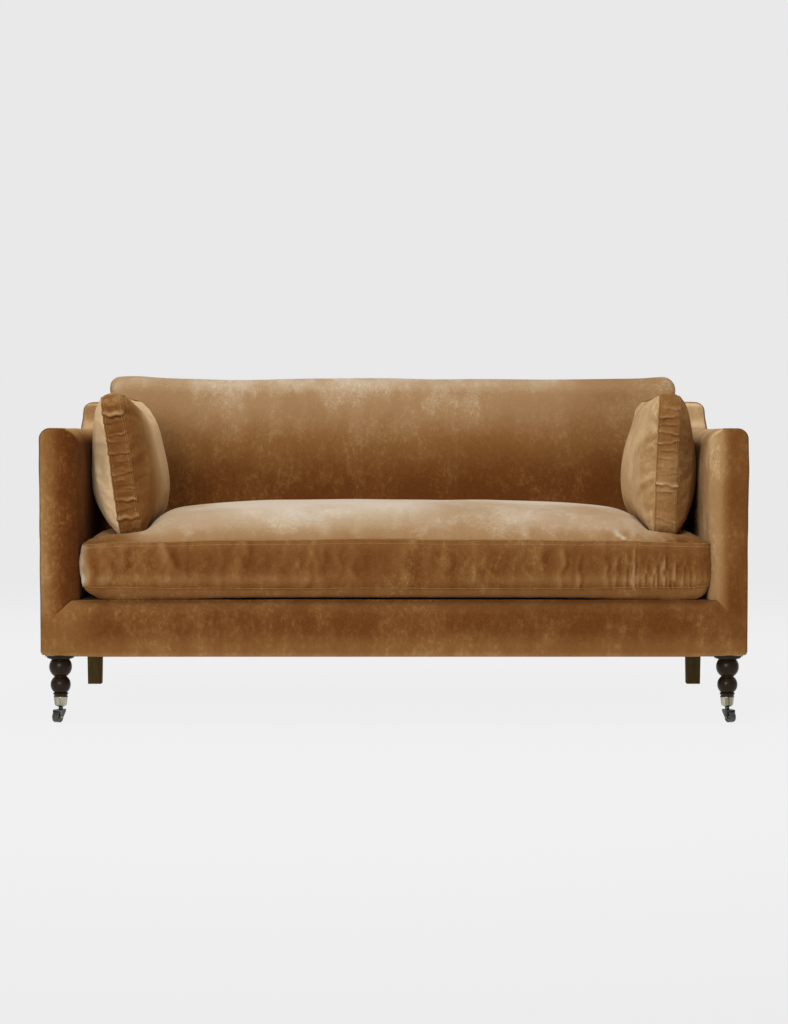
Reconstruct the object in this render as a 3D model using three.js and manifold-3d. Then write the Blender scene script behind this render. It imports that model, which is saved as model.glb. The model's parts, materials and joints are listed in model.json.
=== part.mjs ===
// A two seat sofa with low padded arms, a tight raised back, one bench seat cushion and two boxed
// side cushions, on turned front legs with cup castors and sawn, raked rear legs.
// Millimetres. X runs to the right, the front faces -Y and Z is up. The origin lies on the floor
// under the middle of the sofa.
import * as THREE from 'three';
import { mergeVertices } from 'three/addons/utils/BufferGeometryUtils.js';
import Module from 'manifold-3d';

const wasm = await Module();
wasm.setup();

// Overall sizes
const sofaWidth = 1720;
const sofaDepth = 900;
const backHeight = 850;
const earDrop = 65;
const earRise = 75;
const armFall = 12;
const armThickness = 90;
const lipHeight = 302;
const bodyFloorGap = 164;

// Clearances
const clearance = 0.3;
const cushionGap = 1;
const overrun = 40;
const sharpRadius = 0.5;

// Padding and covers
const frontPadding = 14;
const outsidePadding = 6.7;
const backPanelThickness = 5;
const coverRim = 1;
const armOuterRoll = 22;
const armInnerRoll = 42;
const armFrontRoll = 32;
const armSeamRoll = 6;
const sweepRadius = 35;
const earDepth = 123;
const earEdgeRadius = 15;
const mitreHeight = 72;
const mitreFromArmFace = 18;
const borderLipDepth = 27;
const borderLipThickness = 24.7;
const borderTopRadius = 14;
const borderBottomRadius = 8;
const borderBackRadius = 3;

// Back
const rearRake = 37.5;
const backRoll = 12;
const backFrontRoll = 40;
const backSideRoll = 20;
const backCornerRadius = 30;
const backCrown = 8;
const backTopDepth = 150;
const backLeanRun = 77;

// Timber frame
const postWidth = 50;
const frontPostDepth = 50;
const railThickness = 27;
const stretcherHeight = 60;
const stretcherWidth = 50;
const armBoardThickness = 28;
const tackRailThickness = 25;
const tackRailHeight = 40;
const tackRailLift = 8;
const backPostWidth = 41;
const backPostDepth = 46;
const rearLegFootWidth = 36.5;
const rearLegFootDepth = 36.5;
const rearLegFootFromRear = 70;
const topRailThickness = 30;
const topRailUnderEar = 82;
const stileWidth = 50;
const stileThickness = 20;
const blockReach = 62;
const blockLift = 21;

// Seat suspension
const springCount = 8;
const springSideInset = 157.5;
const springWireRadius = 1.9;
const springHalfWidth = 26;
const springWaves = 7;
const springBulgeShare = 0.2;
const springArch = 9;
const springFrontInset = 6;
const springRearInset = 14;
const tieWireRadius = 1.5;
const tieWireInset = 60;
const deckOverArm = 12;
const coverThickness = 1.5;

// Seat cushion
const seatUndersideRise = 34;
const seatBorderHeight = 104;
const seatCrownRise = 87;
const seatUndersideInset = 58;
const seatSeamDraw = 3;
const seatCornerRadius = 34;
const seatSideDraw = 5;
const seatDentDepth = 34;
const seatDentLength = 300;
const seatDentWidth = 105;
const dentReachShare = 1.2;

// Side cushions
const sideCushionLength = 468;
const sideCushionHeight = 345;
const sideCushionBorder = 51;
const sideCushionCrown = 68;
const sideCushionCorner = 42;
const sideCushionDraw = 9;
const sideCushionFromFront = 78;
const sideCushionSink = 69;
const leftCushionGap = 11.5;
const leftCushionLean = 5.3;
const rightCushionGap = 2.5;
const rightCushionLean = 1.9;

// Turned front legs
const legFromSide = 40.5;
const legFromFront = 45;
const collarRadius = 33.5;
const collarHeight = 6;
const collarFootRadius = 24;
const upperNeckRadius = 21.7;
const upperBallRadius = 28.2;
const upperBallHeightShare = 0.723;
const upperBallHalfShare = 0.279;
const middleNeckRadius = 14.7;
const lowerBallRadius = 24.9;
const lowerBallHeightShare = 0.287;
const lowerBallHalfShare = 0.2465;
const lowerNeckRadius = 14.5;
const legRingRadius = 19.3;
const legRingLift = 6;
const legRingHalf = 2.6;
const spigotTopRadius = 15.3;
const spigotFootRadius = 12.8;
const legBoltRadius = 4;
const legBoltInLeg = 34;
const legBoltInPost = 44;

// Cup castors
const cupHeight = 25;
const cupTopRadius = 17;
const cupFootRadius = 14.5;
const cupFootRise = 5;
const cupBottomRadius = 6.7;
const cupWall = 1.4;
const cupRimHeight = 2.4;
const cupFootRiseShare = 0.3;
const stemRadius = 4;
const stemCollarRadius = 5.5;
const stemCollarLength = 7;
const wheelTopGap = 1;
const hornThickness = 3;
const hornRadius = 10.5;
const cheekThickness = 2;
const cheekGap = 0.5;
const cheekEyeRadius = 5;
const wheelRadius = 13.5;
const wheelWidth = 17;
const wheelEdge = 1.6;
const wheelRecess = 1.2;
const wheelHubRadius = 4.6;
const axleRadius = 2;
const axleHeadRadius = 3.4;
const axleHeadThickness = 1;
const stemHeadRadius = 5;
const stemHeadThickness = 1.6;
const castorTrail = 14;
const castorTurn = 25;

// Steps of the curved faces
const arcSteps = 5;
const roundSteps = 18;

const halfWidth = sofaWidth / 2;
const halfDepth = sofaDepth / 2;
const armFace = halfWidth - armThickness;
const frameOuter = halfWidth - outsidePadding - clearance;
const frameInner = frameOuter - postWidth;
const frameFront = -halfDepth + frontPadding + clearance;
const frameBottom = bodyFloorGap + coverThickness;
const railTop = lipHeight - borderLipThickness - clearance;
const earHeight = backHeight - earDrop;
const armRearHeight = earHeight - earRise;
const armFrontHeight = armRearHeight + armFall;
const earFront = halfDepth - earDepth;
const panelTop = backHeight - backRoll;
const earCore = earHeight - armOuterRoll - coverRim;
const deckTop = lipHeight - clearance;
const seatBorderBottom = lipHeight + seatUndersideRise;
const seatBorderTop = seatBorderBottom + seatBorderHeight;
const seatCrownTop = seatBorderTop + seatCrownRise;
const legX = halfWidth - legFromSide;
const legY = -halfDepth + legFromFront;
const hornTop = 2 * wheelRadius + wheelTopGap + hornThickness;
const cupBottom = hornTop + stemCollarLength;
const cupTop = cupBottom + cupHeight;

// Materials
const material = (colour, roughness, metalness) =>
  new THREE.MeshStandardMaterial({ color: colour, roughness, metalness });
const velvet = material('#936539', 0.85, 0);
const cushionVelvet = material('#a1754a', 0.85, 0);
const darkWood = material('#3a2c1c', 0.45, 0);
const beech = material('#c9a672', 0.7, 0);
const steelWire = material('#6d6f72', 0.4, 0.9);
const satinNickel = material('#a5a28d', 0.3, 1);
const agedIron = material('#3c3d39', 0.45, 0.85);
const liningCloth = material('#1d1c1b', 0.95, 0);
const hessian = material('#8d7a5c', 0.95, 0);

// Rear plane of the sofa and front plane of the back frame, both leaning back
const rearSlope = rearRake / (panelTop - bodyFloorGap);
const rearAt = (z) => halfDepth - (panelTop - z) * rearSlope;
const postRearAt = (z) => rearAt(z) - backPanelThickness - clearance;
const postFrontAt = (z) => postRearAt(z) - backPostDepth;

// Front face of the tight back, leaning more than the rear plane
const backFaceSlope = backLeanRun / (backHeight - lipHeight);
const backFaceAt = (z) => halfDepth - backTopDepth - (backHeight - z) * backFaceSlope;

// Crest of the arm, falling gently to the rear
const armSlope = armFall / (halfDepth + earFront);
const armTopAt = (y) => armFrontHeight - (y + halfDepth) * armSlope;

// Basic shape tools

// A closed outline from corners given as [u, v, radius], with round corners as arcs
function rounded(corners) {
  const points = [];
  corners.forEach(([u, v, radius = 0], i) => {
    const corner = new THREE.Vector2(u, v);
    if (radius <= 0) {
      points.push(corner);
      return;
    }
    const [beforeU, beforeV] = corners[(i + corners.length - 1) % corners.length];
    const [afterU, afterV] = corners[(i + 1) % corners.length];
    const toBefore = new THREE.Vector2(beforeU, beforeV).sub(corner).normalize();
    const toAfter = new THREE.Vector2(afterU, afterV).sub(corner).normalize();
    const half = Math.acos(THREE.MathUtils.clamp(toBefore.dot(toAfter), -1, 1)) / 2;
    const middle = toBefore.clone().add(toAfter).normalize();
    const centre = corner.clone().addScaledVector(middle, radius / Math.sin(half));
    const start = corner.clone().addScaledVector(toBefore, radius / Math.tan(half)).sub(centre);
    const end = corner.clone().addScaledVector(toAfter, radius / Math.tan(half)).sub(centre);
    const sweep = Math.atan2(start.cross(end), start.dot(end));
    for (let k = 0; k <= arcSteps; k += 1) {
      points.push(start.clone().rotateAround(new THREE.Vector2(), (sweep * k) / arcSteps).add(centre));
    }
  });
  return points;
}

// Merged vertices, no flat triangles, faces pointing out
function tidied(geometry) {
  const bare = geometry.index ? geometry : geometry.clone();
  bare.deleteAttribute('normal');
  bare.deleteAttribute('uv');
  const merged = mergeVertices(bare, 1e-4);
  const place = merged.getAttribute('position');
  const kept = [];
  let volume = 0;
  const corner = [new THREE.Vector3(), new THREE.Vector3(), new THREE.Vector3()];
  for (let i = 0; i < merged.index.count; i += 3) {
    const ids = [0, 1, 2].map((k) => merged.index.getX(i + k));
    if (ids[0] === ids[1] || ids[1] === ids[2] || ids[2] === ids[0]) continue;
    kept.push(ids);
    ids.forEach((id, k) => corner[k].fromBufferAttribute(place, id));
    volume += corner[0].dot(corner[1].clone().cross(corner[2]));
  }
  const turned = volume < 0 ? kept.map(([a, b, c]) => [a, c, b]) : kept;
  merged.setIndex(turned.flat());
  return merged;
}

// An outline drawn in the plane across an axis, extruded between two places on that axis:
// across x the outline is (y, z), across y it is (x, z) and across z it is (x, y)
function prism(axis, outline, from, to, holes = []) {
  const shape = new THREE.Shape(outline);
  holes.forEach(([x, y, radius]) => {
    shape.holes.push(new THREE.Path().absarc(x, y, radius, 0, 2 * Math.PI, true));
  });
  const geometry = new THREE.ExtrudeGeometry(shape, {
    depth: to - from, bevelEnabled: false, curveSegments: roundSteps / 2,
  });
  geometry.translate(0, 0, from);
  const turn = new THREE.Matrix4();
  if (axis === 'x') turn.set(0, 0, 1, 0, 1, 0, 0, 0, 0, 1, 0, 0, 0, 0, 0, 1);
  if (axis === 'y') turn.set(1, 0, 0, 0, 0, 0, 1, 0, 0, 1, 0, 0, 0, 0, 0, 1);
  return tidied(geometry.applyMatrix4(turn));
}

// A block between two opposite corners
function block([x0, y0, z0], [x1, y1, z1]) {
  const geometry = new THREE.BoxGeometry(x1 - x0, y1 - y0, z1 - z0);
  return tidied(geometry.translate((x0 + x1) / 2, (y0 + y1) / 2, (z0 + z1) / 2));
}

// Rings of points with the same count, skinned one to the next, with both ends closed.
// An end ring of one point is a pole, and any other end is filled across its own outline.
function skinned(rings) {
  const positions = [];
  const starts = rings.map((ring) => {
    const start = positions.length / 3;
    ring.forEach((p) => positions.push(p.x, p.y, p.z));
    return start;
  });
  const faces = [];
  for (let r = 0; r + 1 < rings.length; r += 1) {
    const low = rings[r].length;
    const high = rings[r + 1].length;
    const count = Math.max(low, high);
    for (let i = 0; i < count; i += 1) {
      const next = (i + 1) % count;
      const a = starts[r] + (i % low);
      const b = starts[r] + (next % low);
      const c = starts[r + 1] + (next % high);
      const d = starts[r + 1] + (i % high);
      if (a !== b) faces.push([a, b, c]);
      if (c !== d) faces.push([a, c, d]);
    }
  }
  [0, rings.length - 1].forEach((r) => {
    const ring = rings[r];
    if (ring.length === 1) return;
    const flat = flattened(ring);
    const forward = THREE.ShapeUtils.isClockWise(flat);
    THREE.ShapeUtils.triangulateShape(flat, []).forEach(([a, b, c]) => {
      const face = forward === (r === 0) ? [a, b, c] : [a, c, b];
      faces.push(face.map((id) => id + starts[r]));
    });
  });
  const geometry = new THREE.BufferGeometry();
  geometry.setAttribute('position', new THREE.Float32BufferAttribute(positions, 3));
  geometry.setIndex(faces.flat());
  return tidied(matched(geometry));
}

// The two axes in which a ring is widest, as a flat outline
function flattened(ring) {
  const spread = ['x', 'y', 'z'].map((axis) => {
    const values = ring.map((p) => p[axis]);
    return [Math.max(...values) - Math.min(...values), axis];
  });
  const least = spread.reduce((a, b) => (b[0] < a[0] ? b : a))[1];
  const [u, v] = ['x', 'y', 'z'].filter((axis) => axis !== least);
  return ring.map((p) => new THREE.Vector2(p[u], p[v]));
}

// Turns each face that runs against its neighbour, starting from the first
function matched(geometry) {
  const faces = [];
  for (let i = 0; i < geometry.index.count; i += 3) {
    faces.push([0, 1, 2].map((k) => geometry.index.getX(i + k)));
  }
  const byEdge = new Map();
  const key = (a, b) => (a < b ? `${a},${b}` : `${b},${a}`);
  faces.forEach((face, f) => {
    face.forEach((a, k) => {
      const edge = key(a, face[(k + 1) % 3]);
      byEdge.set(edge, [...(byEdge.get(edge) ?? []), f]);
    });
  });
  const seen = new Set([0]);
  const waiting = [0];
  while (waiting.length) {
    const f = waiting.pop();
    faces[f].forEach((a, k) => {
      const b = faces[f][(k + 1) % 3];
      byEdge.get(key(a, b)).forEach((g) => {
        if (seen.has(g)) return;
        const at = faces[g].indexOf(a);
        if (faces[g][(at + 1) % 3] === b) faces[g].reverse();
        seen.add(g);
        waiting.push(g);
      });
    });
  }
  geometry.setIndex(faces.flat());
  return geometry;
}

// A turned shape from a profile of [radius, height] pairs, about Z
function turned(profile, segments = roundSteps) {
  const points = profile.map(([radius, height]) => new THREE.Vector2(radius, height));
  return tidied(new THREE.LatheGeometry(points, segments).rotateX(Math.PI / 2));
}

// Points [radius, height] of a turned ball of a half height about its middle, from the neck above
// it to the neck below it
function ballProfile(radius, halfHeight, middle, neckAbove, neckBelow, steps) {
  const startAngle = Math.acos(neckAbove / radius);
  const endAngle = -Math.acos(neckBelow / radius);
  return Array.from({ length: steps + 1 }, (_, k) => {
    const angle = startAngle + ((endAngle - startAngle) * k) / steps;
    return [radius * Math.cos(angle), middle + halfHeight * Math.sin(angle)];
  });
}

function toManifold(geometry) {
  const vertProperties = new Float32Array(geometry.getAttribute('position').array);
  const triVerts = new Uint32Array(geometry.index.array);
  return new wasm.Manifold(new wasm.Mesh({ numProp: 3, vertProperties, triVerts }));
}

function toGeometry(manifold) {
  const { vertProperties, triVerts } = manifold.getMesh();
  const geometry = new THREE.BufferGeometry();
  geometry.setAttribute('position', new THREE.BufferAttribute(new Float32Array(vertProperties), 3));
  geometry.setIndex(new THREE.BufferAttribute(new Uint32Array(triVerts), 1));
  return geometry;
}

function cut(geometry, ...tools) {
  const result = tools.reduce((left, tool) => left.subtract(toManifold(tool)), toManifold(geometry));
  return toGeometry(result);
}

function joined(geometry, ...others) {
  const result = others.reduce((sum, other) => sum.add(toManifold(other)), toManifold(geometry));
  return toGeometry(result);
}

// The same shape on the other side of the sofa
function mirrored(geometry) {
  return tidied(geometry.clone().applyMatrix4(new THREE.Matrix4().makeScale(-1, 1, 1)));
}

const sofa = new THREE.Group();

function place(name, geometry, finish, parent = sofa) {
  const mesh = new THREE.Mesh(geometry, finish);
  mesh.name = name;
  parent.add(mesh);
  return mesh;
}

// A piece on the right side and its mirror on the left
function placePair(name, geometry, finish) {
  place(`${name}_right`, geometry, finish);
  place(`${name}_left`, mirrored(geometry), finish);
}

// Timber frame

// Front post of the arm, with a bore in its foot for the leg bolt and its top under the arm board
const boardTopAt = (y) => armTopAt(y) - armOuterRoll - coverRim - clearance;
const boardFootAt = (y) => boardTopAt(y) - armBoardThickness;

function frontPost() {
  const rear = frameFront + frontPostDepth;
  const outline = rounded([
    [frameFront, frameBottom],
    [rear, frameBottom],
    [rear, boardFootAt(rear) - clearance],
    [frameFront, boardFootAt(frameFront) - clearance],
  ]);
  const bore = turned([
    [0, bodyFloorGap],
    [legBoltRadius + clearance, bodyFloorGap],
    [legBoltRadius + clearance, frameBottom + legBoltInPost + clearance],
    [0, frameBottom + legBoltInPost + clearance],
  ]).translate(legX, legY, 0);
  return cut(prism('x', outline, frameInner, frameOuter), bore);
}

function armBoard() {
  const nearRear = postFrontAt(armRearHeight);
  const rearFoot = postFrontAt(boardFootAt(nearRear)) - clearance;
  const rearTop = postFrontAt(boardTopAt(nearRear)) - clearance;
  const outline = rounded([
    [frameFront, boardFootAt(frameFront)],
    [rearFoot, boardFootAt(rearFoot)],
    [rearTop, boardTopAt(rearTop)],
    [frameFront, boardTopAt(frameFront)],
  ]);
  return prism('x', outline, frameInner, frameOuter);
}

// Side rail between the front post and the rear post, flush with their outer faces
function sideRail() {
  const front = frameFront + frontPostDepth + clearance;
  const outline = rounded([
    [front, frameBottom],
    [postFrontAt(frameBottom) - clearance, frameBottom],
    [postFrontAt(railTop) - clearance, railTop],
    [front, railTop],
  ]);
  return prism('x', outline, frameOuter - railThickness, frameOuter);
}

// Rail inside the arm, just above the seat, that the inside cover is tacked to
function armTackRail() {
  const front = frameFront + frontPostDepth + clearance;
  const foot = lipHeight + tackRailLift;
  const top = foot + tackRailHeight;
  const outline = rounded([
    [front, foot],
    [postFrontAt(foot) - clearance, foot],
    [postFrontAt(top) - clearance, top],
    [front, top],
  ]);
  return prism('x', outline, frameInner, frameInner + tackRailThickness);
}

// Rear post and rear leg, sawn as one piece, the foot raked back and tapered on two sides
function rearPost() {
  const footFront = halfDepth - rearLegFootFromRear;
  const outline = rounded([
    [footFront, 0],
    [footFront + rearLegFootDepth, 0],
    [postRearAt(bodyFloorGap), bodyFloorGap],
    [postRearAt(earCore - clearance), earCore - clearance],
    [postFrontAt(earCore - clearance), earCore - clearance],
    [postFrontAt(bodyFloorGap), bodyFloorGap],
  ]);
  const geometry = prism('x', outline, frameOuter - backPostWidth, frameOuter);
  const points = geometry.getAttribute('position');
  for (let i = 0; i < points.count; i += 1) {
    const onFoot = points.getZ(i) < bodyFloorGap / 2;
    const onInside = points.getX(i) < frameOuter - backPostWidth / 2;
    if (onFoot && onInside) points.setX(i, frameOuter - rearLegFootWidth);
  }
  return geometry;
}

const frontRailRear = frameFront + railThickness;
const backRailRear = postRearAt(frameBottom);
const backRailFront = backRailRear - railThickness;
const rearPostInner = frameOuter - backPostWidth;

function frontRail() {
  const end = frameInner - clearance;
  return block([-end, frameFront, frameBottom], [end, frontRailRear, railTop]);
}

function backRail() {
  const end = rearPostInner - clearance;
  return block([-end, backRailFront, frameBottom], [end, backRailRear, railTop]);
}

function seatStretcher() {
  const half = stretcherWidth / 2;
  const front = frontRailRear + clearance;
  const rear = backRailFront - clearance;
  return block([-half, front, frameBottom], [half, rear, frameBottom + stretcherHeight]);
}

// A board between two heights that leans with the back, from an outline of (x, z)
function leaningBoard(outline, frontAt, rearOf) {
  const ring = (depthAt) => outline.map((p) => new THREE.Vector3(p.x, depthAt(p.y), p.y));
  return skinned([ring(frontAt), ring(rearOf)]);
}

// Outline with a raised middle between two lower shoulders
function shoulderedOutline(foot, shoulderHalf, shoulderTop, middleHalf, middleTop) {
  return rounded([
    [-shoulderHalf, foot],
    [shoulderHalf, foot],
    [shoulderHalf, shoulderTop],
    [middleHalf, shoulderTop],
    [middleHalf, middleTop],
    [-middleHalf, middleTop],
    [-middleHalf, shoulderTop],
    [-shoulderHalf, shoulderTop],
  ]);
}

const raisedHalf = armFace - cushionGap / 2;
const raisedCore = raisedHalf - backRoll;
const topRailFoot = earCore - topRailUnderEar;

function backTopRail() {
  const outline = shoulderedOutline(
    topRailFoot,
    rearPostInner - clearance,
    earCore - clearance,
    raisedCore - clearance,
    panelTop - coverRim - clearance,
  );
  return leaningBoard(outline, (z) => postRearAt(z) - topRailThickness, postRearAt);
}

function backTackRail() {
  const end = rearPostInner - clearance;
  const foot = lipHeight + tackRailLift;
  const outline = rounded([
    [-end, foot],
    [end, foot],
    [end, foot + tackRailHeight],
    [-end, foot + tackRailHeight],
  ]);
  return leaningBoard(outline, postFrontAt, (z) => postFrontAt(z) + tackRailThickness);
}

function backStile() {
  const half = stileWidth / 2;
  const foot = railTop + clearance;
  const top = topRailFoot - clearance;
  const outline = rounded([[-half, foot], [half, foot], [half, top], [-half, top]]);
  return leaningBoard(outline, (z) => postRearAt(z) - stileThickness, postRearAt);
}

// Corner blocks, notched round the posts
function frontCornerBlock() {
  const railSide = frameOuter - railThickness - clearance;
  const railFace = frontRailRear + clearance;
  const postRear = frameFront + frontPostDepth + clearance;
  const postSide = frameInner - clearance;
  const outline = rounded([
    [postSide - blockReach, railFace],
    [postSide, railFace],
    [postSide, postRear],
    [railSide, postRear],
    [railSide, postRear + blockReach],
  ]);
  return prism('z', outline, frameBottom + blockLift, railTop - clearance);
}

function rearCornerBlock() {
  const railSide = frameOuter - railThickness - clearance;
  const railFace = backRailFront - clearance;
  const postFace = postFrontAt(frameBottom) - clearance;
  const postSide = rearPostInner - clearance;
  const outline = rounded([
    [railSide, postFace - blockReach],
    [railSide, postFace],
    [postSide, postFace],
    [postSide, railFace],
    [postSide - blockReach, railFace],
  ]);
  return prism('z', outline, frameBottom + blockLift, railTop - clearance);
}

placePair('front_post', frontPost(), beech);
placePair('arm_board', armBoard(), beech);
placePair('side_rail', sideRail(), beech);
placePair('arm_tack_rail', armTackRail(), beech);
placePair('rear_post_and_leg', rearPost(), darkWood);
placePair('front_corner_block', frontCornerBlock(), beech);
placePair('rear_corner_block', rearCornerBlock(), beech);
place('front_rail', frontRail(), beech);
place('back_rail', backRail(), beech);
place('seat_stretcher', seatStretcher(), beech);
place('back_top_rail', backTopRail(), beech);
place('back_tack_rail', backTackRail(), beech);
place('back_stile', backStile(), beech);

// Seat suspension

const springSpacing = (2 * (armFace - springSideInset)) / (springCount - 1);
const springFront = frontRailRear - springFrontInset;
const springRear = backRailFront + springRearInset;
const springSeat = railTop + clearance + springWireRadius;
const springLength = springRear - springFront;
const archAt = (y) => springArch * Math.sin((Math.PI * (y - springFront)) / springLength);

// A serpentine wire: bars across the seat joined by round bends, arched along its length
class SerpentineWire extends THREE.Curve {
  constructor(centre) {
    super();
    this.centre = centre;
  }

  getPoint(t) {
    const phase = 2 * Math.PI * springWaves * t;
    const bulge = (springBulgeShare * springLength) / (Math.PI * springWaves);
    const y = springFront + springLength * t - bulge * Math.sin(2 * phase);
    return new THREE.Vector3(
      this.centre + springHalfWidth * Math.sin(phase),
      y,
      springSeat + Math.max(archAt(y), 0),
    );
  }
}

function regularOutline(radius, sides) {
  return new THREE.Shape(Array.from({ length: sides }, (_, k) => {
    const angle = (2 * Math.PI * k) / sides;
    return new THREE.Vector2(radius * Math.cos(angle), radius * Math.sin(angle));
  }));
}

function seatSpring(centre) {
  const stepsPerWave = 6;
  const sides = 4;
  return tidied(new THREE.ExtrudeGeometry(regularOutline(springWireRadius, sides), {
    steps: springWaves * stepsPerWave,
    extrudePath: new SerpentineWire(centre),
  }));
}

for (let i = 0; i < springCount; i += 1) {
  place(`seat_spring_${i + 1}`, seatSpring((i - (springCount - 1) / 2) * springSpacing), steelWire);
}

// Two wires under the springs tie them side by side
function tieWire(y) {
  const half = ((springCount - 1) / 2) * springSpacing + springHalfWidth;
  const height = springSeat + archAt(y) - springWireRadius - clearance - tieWireRadius;
  const sides = 8;
  const wire = new THREE.CylinderGeometry(tieWireRadius, tieWireRadius, 2 * half, sides);
  return tidied(wire.rotateZ(Math.PI / 2).translate(0, y, height));
}

const tieWireReach = springLength / 2 - tieWireInset;
const springMiddle = (springFront + springRear) / 2;
place('tie_wire_front', tieWire(springMiddle - tieWireReach / 2), steelWire);
place('tie_wire_rear', tieWire(springMiddle + tieWireReach / 2), steelWire);

// Padded deck on the springs: flat on top, arched underneath
const borderLipRear = -halfDepth + borderLipDepth;

function seatDeck() {
  const front = borderLipRear + clearance;
  const rear = postFrontAt(lipHeight) - clearance;
  const steps = 12;
  const underside = Array.from({ length: steps + 1 }, (_, k) => {
    const y = front + ((rear - front) * k) / steps;
    return [y, springSeat + Math.max(archAt(y), 0) + springWireRadius + clearance];
  });
  const outline = rounded([...underside, [rear, deckTop], [front, deckTop]]);
  return prism('x', outline, -armFace - deckOverArm, armFace + deckOverArm);
}

// Thin lining under the frame, cut round the rear legs and the leg bolts
function liningCover() {
  const side = frameOuter - clearance;
  const rear = backRailRear - clearance;
  const notchSide = rearPostInner - clearance;
  const notchFront = postFrontAt(bodyFloorGap) - clearance;
  const outline = rounded([
    [-side, frameFront],
    [side, frameFront],
    [side, notchFront],
    [notchSide, notchFront],
    [notchSide, rear],
    [-notchSide, rear],
    [-notchSide, notchFront],
    [-side, notchFront],
  ]);
  const holeRadius = legBoltRadius + clearance;
  return prism('z', outline, bodyFloorGap, frameBottom, [
    [legX, legY, holeRadius],
    [-legX, legY, holeRadius],
  ]);
}

place('seat_deck', seatDeck(), hessian);
place('lining_cover', liningCover(), liningCloth);

// Upholstery of the body

// Side outline of the arm (y, z) with its sweep up to the ear, drawn in by three insets
function armOutline(topInset, faceInset, rearInset, foot) {
  const front = -halfDepth + faceInset;
  const wall = earFront + faceInset;
  const crest = earHeight - topInset;
  return rounded([
    [front, foot],
    [front, armTopAt(front) - topInset, armSeamRoll],
    [wall, armTopAt(wall) - topInset, sweepRadius + topInset],
    [wall, crest, Math.max(earEdgeRadius - topInset, sharpRadius)],
    [rearAt(crest) - rearInset, crest, Math.max(backRoll - topInset, sharpRadius)],
    [rearAt(foot) - rearInset, foot],
  ]);
}

// The space inside the arm that holds the frame, open below, outside and behind
function armCoreOutline(gap) {
  const inset = armOuterRoll + coverRim + gap;
  const front = -halfDepth + frontPadding + gap;
  const wall = earFront + frontPadding + gap;
  return [
    [front, armTopAt(front) - inset, sharpRadius],
    [wall, armTopAt(wall) - inset, sweepRadius + inset],
    [wall, earHeight - inset, sharpRadius],
  ];
}

const mitreFoot = lipHeight - mitreHeight;
const mitreInner = armFace + mitreFromArmFace;
const mitreAt = (x) => lipHeight - ((x - mitreInner) * mitreHeight) / (halfWidth - mitreInner);

function armPad() {
  const rings = [];
  const ring = (x, topInset, faceInset) => {
    const rearInset = topInset > armOuterRoll ? 0 : topInset / 2;
    rings.push(armOutline(topInset, faceInset, rearInset, mitreFoot)
      .map((p) => new THREE.Vector3(x, p.x, p.y)));
  };
  for (let k = 0; k <= arcSteps; k += 1) {
    const angle = (Math.PI / 2) * (k / arcSteps);
    const shrink = 1 - Math.sin(angle);
    ring(armFace + armInnerRoll * (1 - Math.cos(angle)), armInnerRoll * shrink, armFrontRoll * shrink);
  }
  for (let k = 0; k <= arcSteps; k += 1) {
    const angle = (Math.PI / 2) * (1 - k / arcSteps);
    const shrink = 1 - Math.sin(angle);
    ring(halfWidth - armOuterRoll * (1 - Math.cos(angle)), armOuterRoll * shrink, armSeamRoll * shrink);
  }
  const beyondRear = halfDepth + overrun;
  const below = mitreFoot - 2 * overrun;
  const core = rounded([
    [-halfDepth + frontPadding, below],
    ...armCoreOutline(0),
    [beyondRear, earCore],
    [beyondRear, below],
  ]);
  const backFrame = rounded([
    [postFrontAt(below) - clearance, below],
    [postFrontAt(earCore) - clearance, earCore],
    [beyondRear, earCore],
    [beyondRear, below],
  ]);
  const railZone = rounded([
    [armFace - overrun, below],
    [armFace - overrun, lipHeight + clearance],
    [mitreInner, lipHeight + clearance],
    [halfWidth + overrun, mitreAt(halfWidth + overrun) + clearance],
    [halfWidth + overrun, below],
  ]);
  return cut(
    skinned(rings),
    prism('x', core, frameInner - clearance, halfWidth + overrun),
    prism('x', backFrame, armFace - overrun, halfWidth + overrun),
    prism('y', railZone, -halfDepth - overrun, halfDepth + overrun),
  );
}

function outsideArmPanel() {
  const rearTop = earCore - clearance;
  const outline = rounded([
    [-halfDepth + frontPadding + clearance, bodyFloorGap],
    ...armCoreOutline(clearance),
    [rearAt(rearTop), rearTop, sharpRadius],
    [rearAt(bodyFloorGap), bodyFloorGap],
  ]);
  return prism('x', outline, halfWidth - outsidePadding, halfWidth);
}

// Front border: a padded face with a lip over the rail, mitred under the arm fronts
function frontBorder() {
  const front = -halfDepth;
  const faceRear = front + frontPadding;
  const lipFoot = lipHeight - borderLipThickness;
  const outline = rounded([
    [faceRear, bodyFloorGap],
    [front, bodyFloorGap, borderBottomRadius],
    [front, lipHeight, borderTopRadius],
    [borderLipRear, lipHeight, borderBackRadius],
    [borderLipRear, lipFoot],
    [faceRear, lipFoot],
  ]);
  const mitre = (side) => rounded([
    [side * mitreInner, lipHeight - clearance],
    [side * mitreInner, lipHeight + overrun],
    [side * (halfWidth + overrun), lipHeight + overrun],
    [side * (halfWidth + overrun), mitreAt(halfWidth + overrun) - clearance],
  ]);
  const lipEnd = frameInner - clearance;
  const lipRear = borderLipRear + overrun;
  return cut(
    prism('x', outline, -halfWidth, halfWidth),
    prism('y', mitre(1), front - overrun, lipRear),
    prism('y', mitre(-1), front - overrun, lipRear),
    block([lipEnd, faceRear, lipFoot - overrun], [halfWidth + overrun, lipRear, lipHeight]),
    block([-halfWidth - overrun, faceRear, lipFoot - overrun], [-lipEnd, lipRear, lipHeight]),
  );
}

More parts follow.
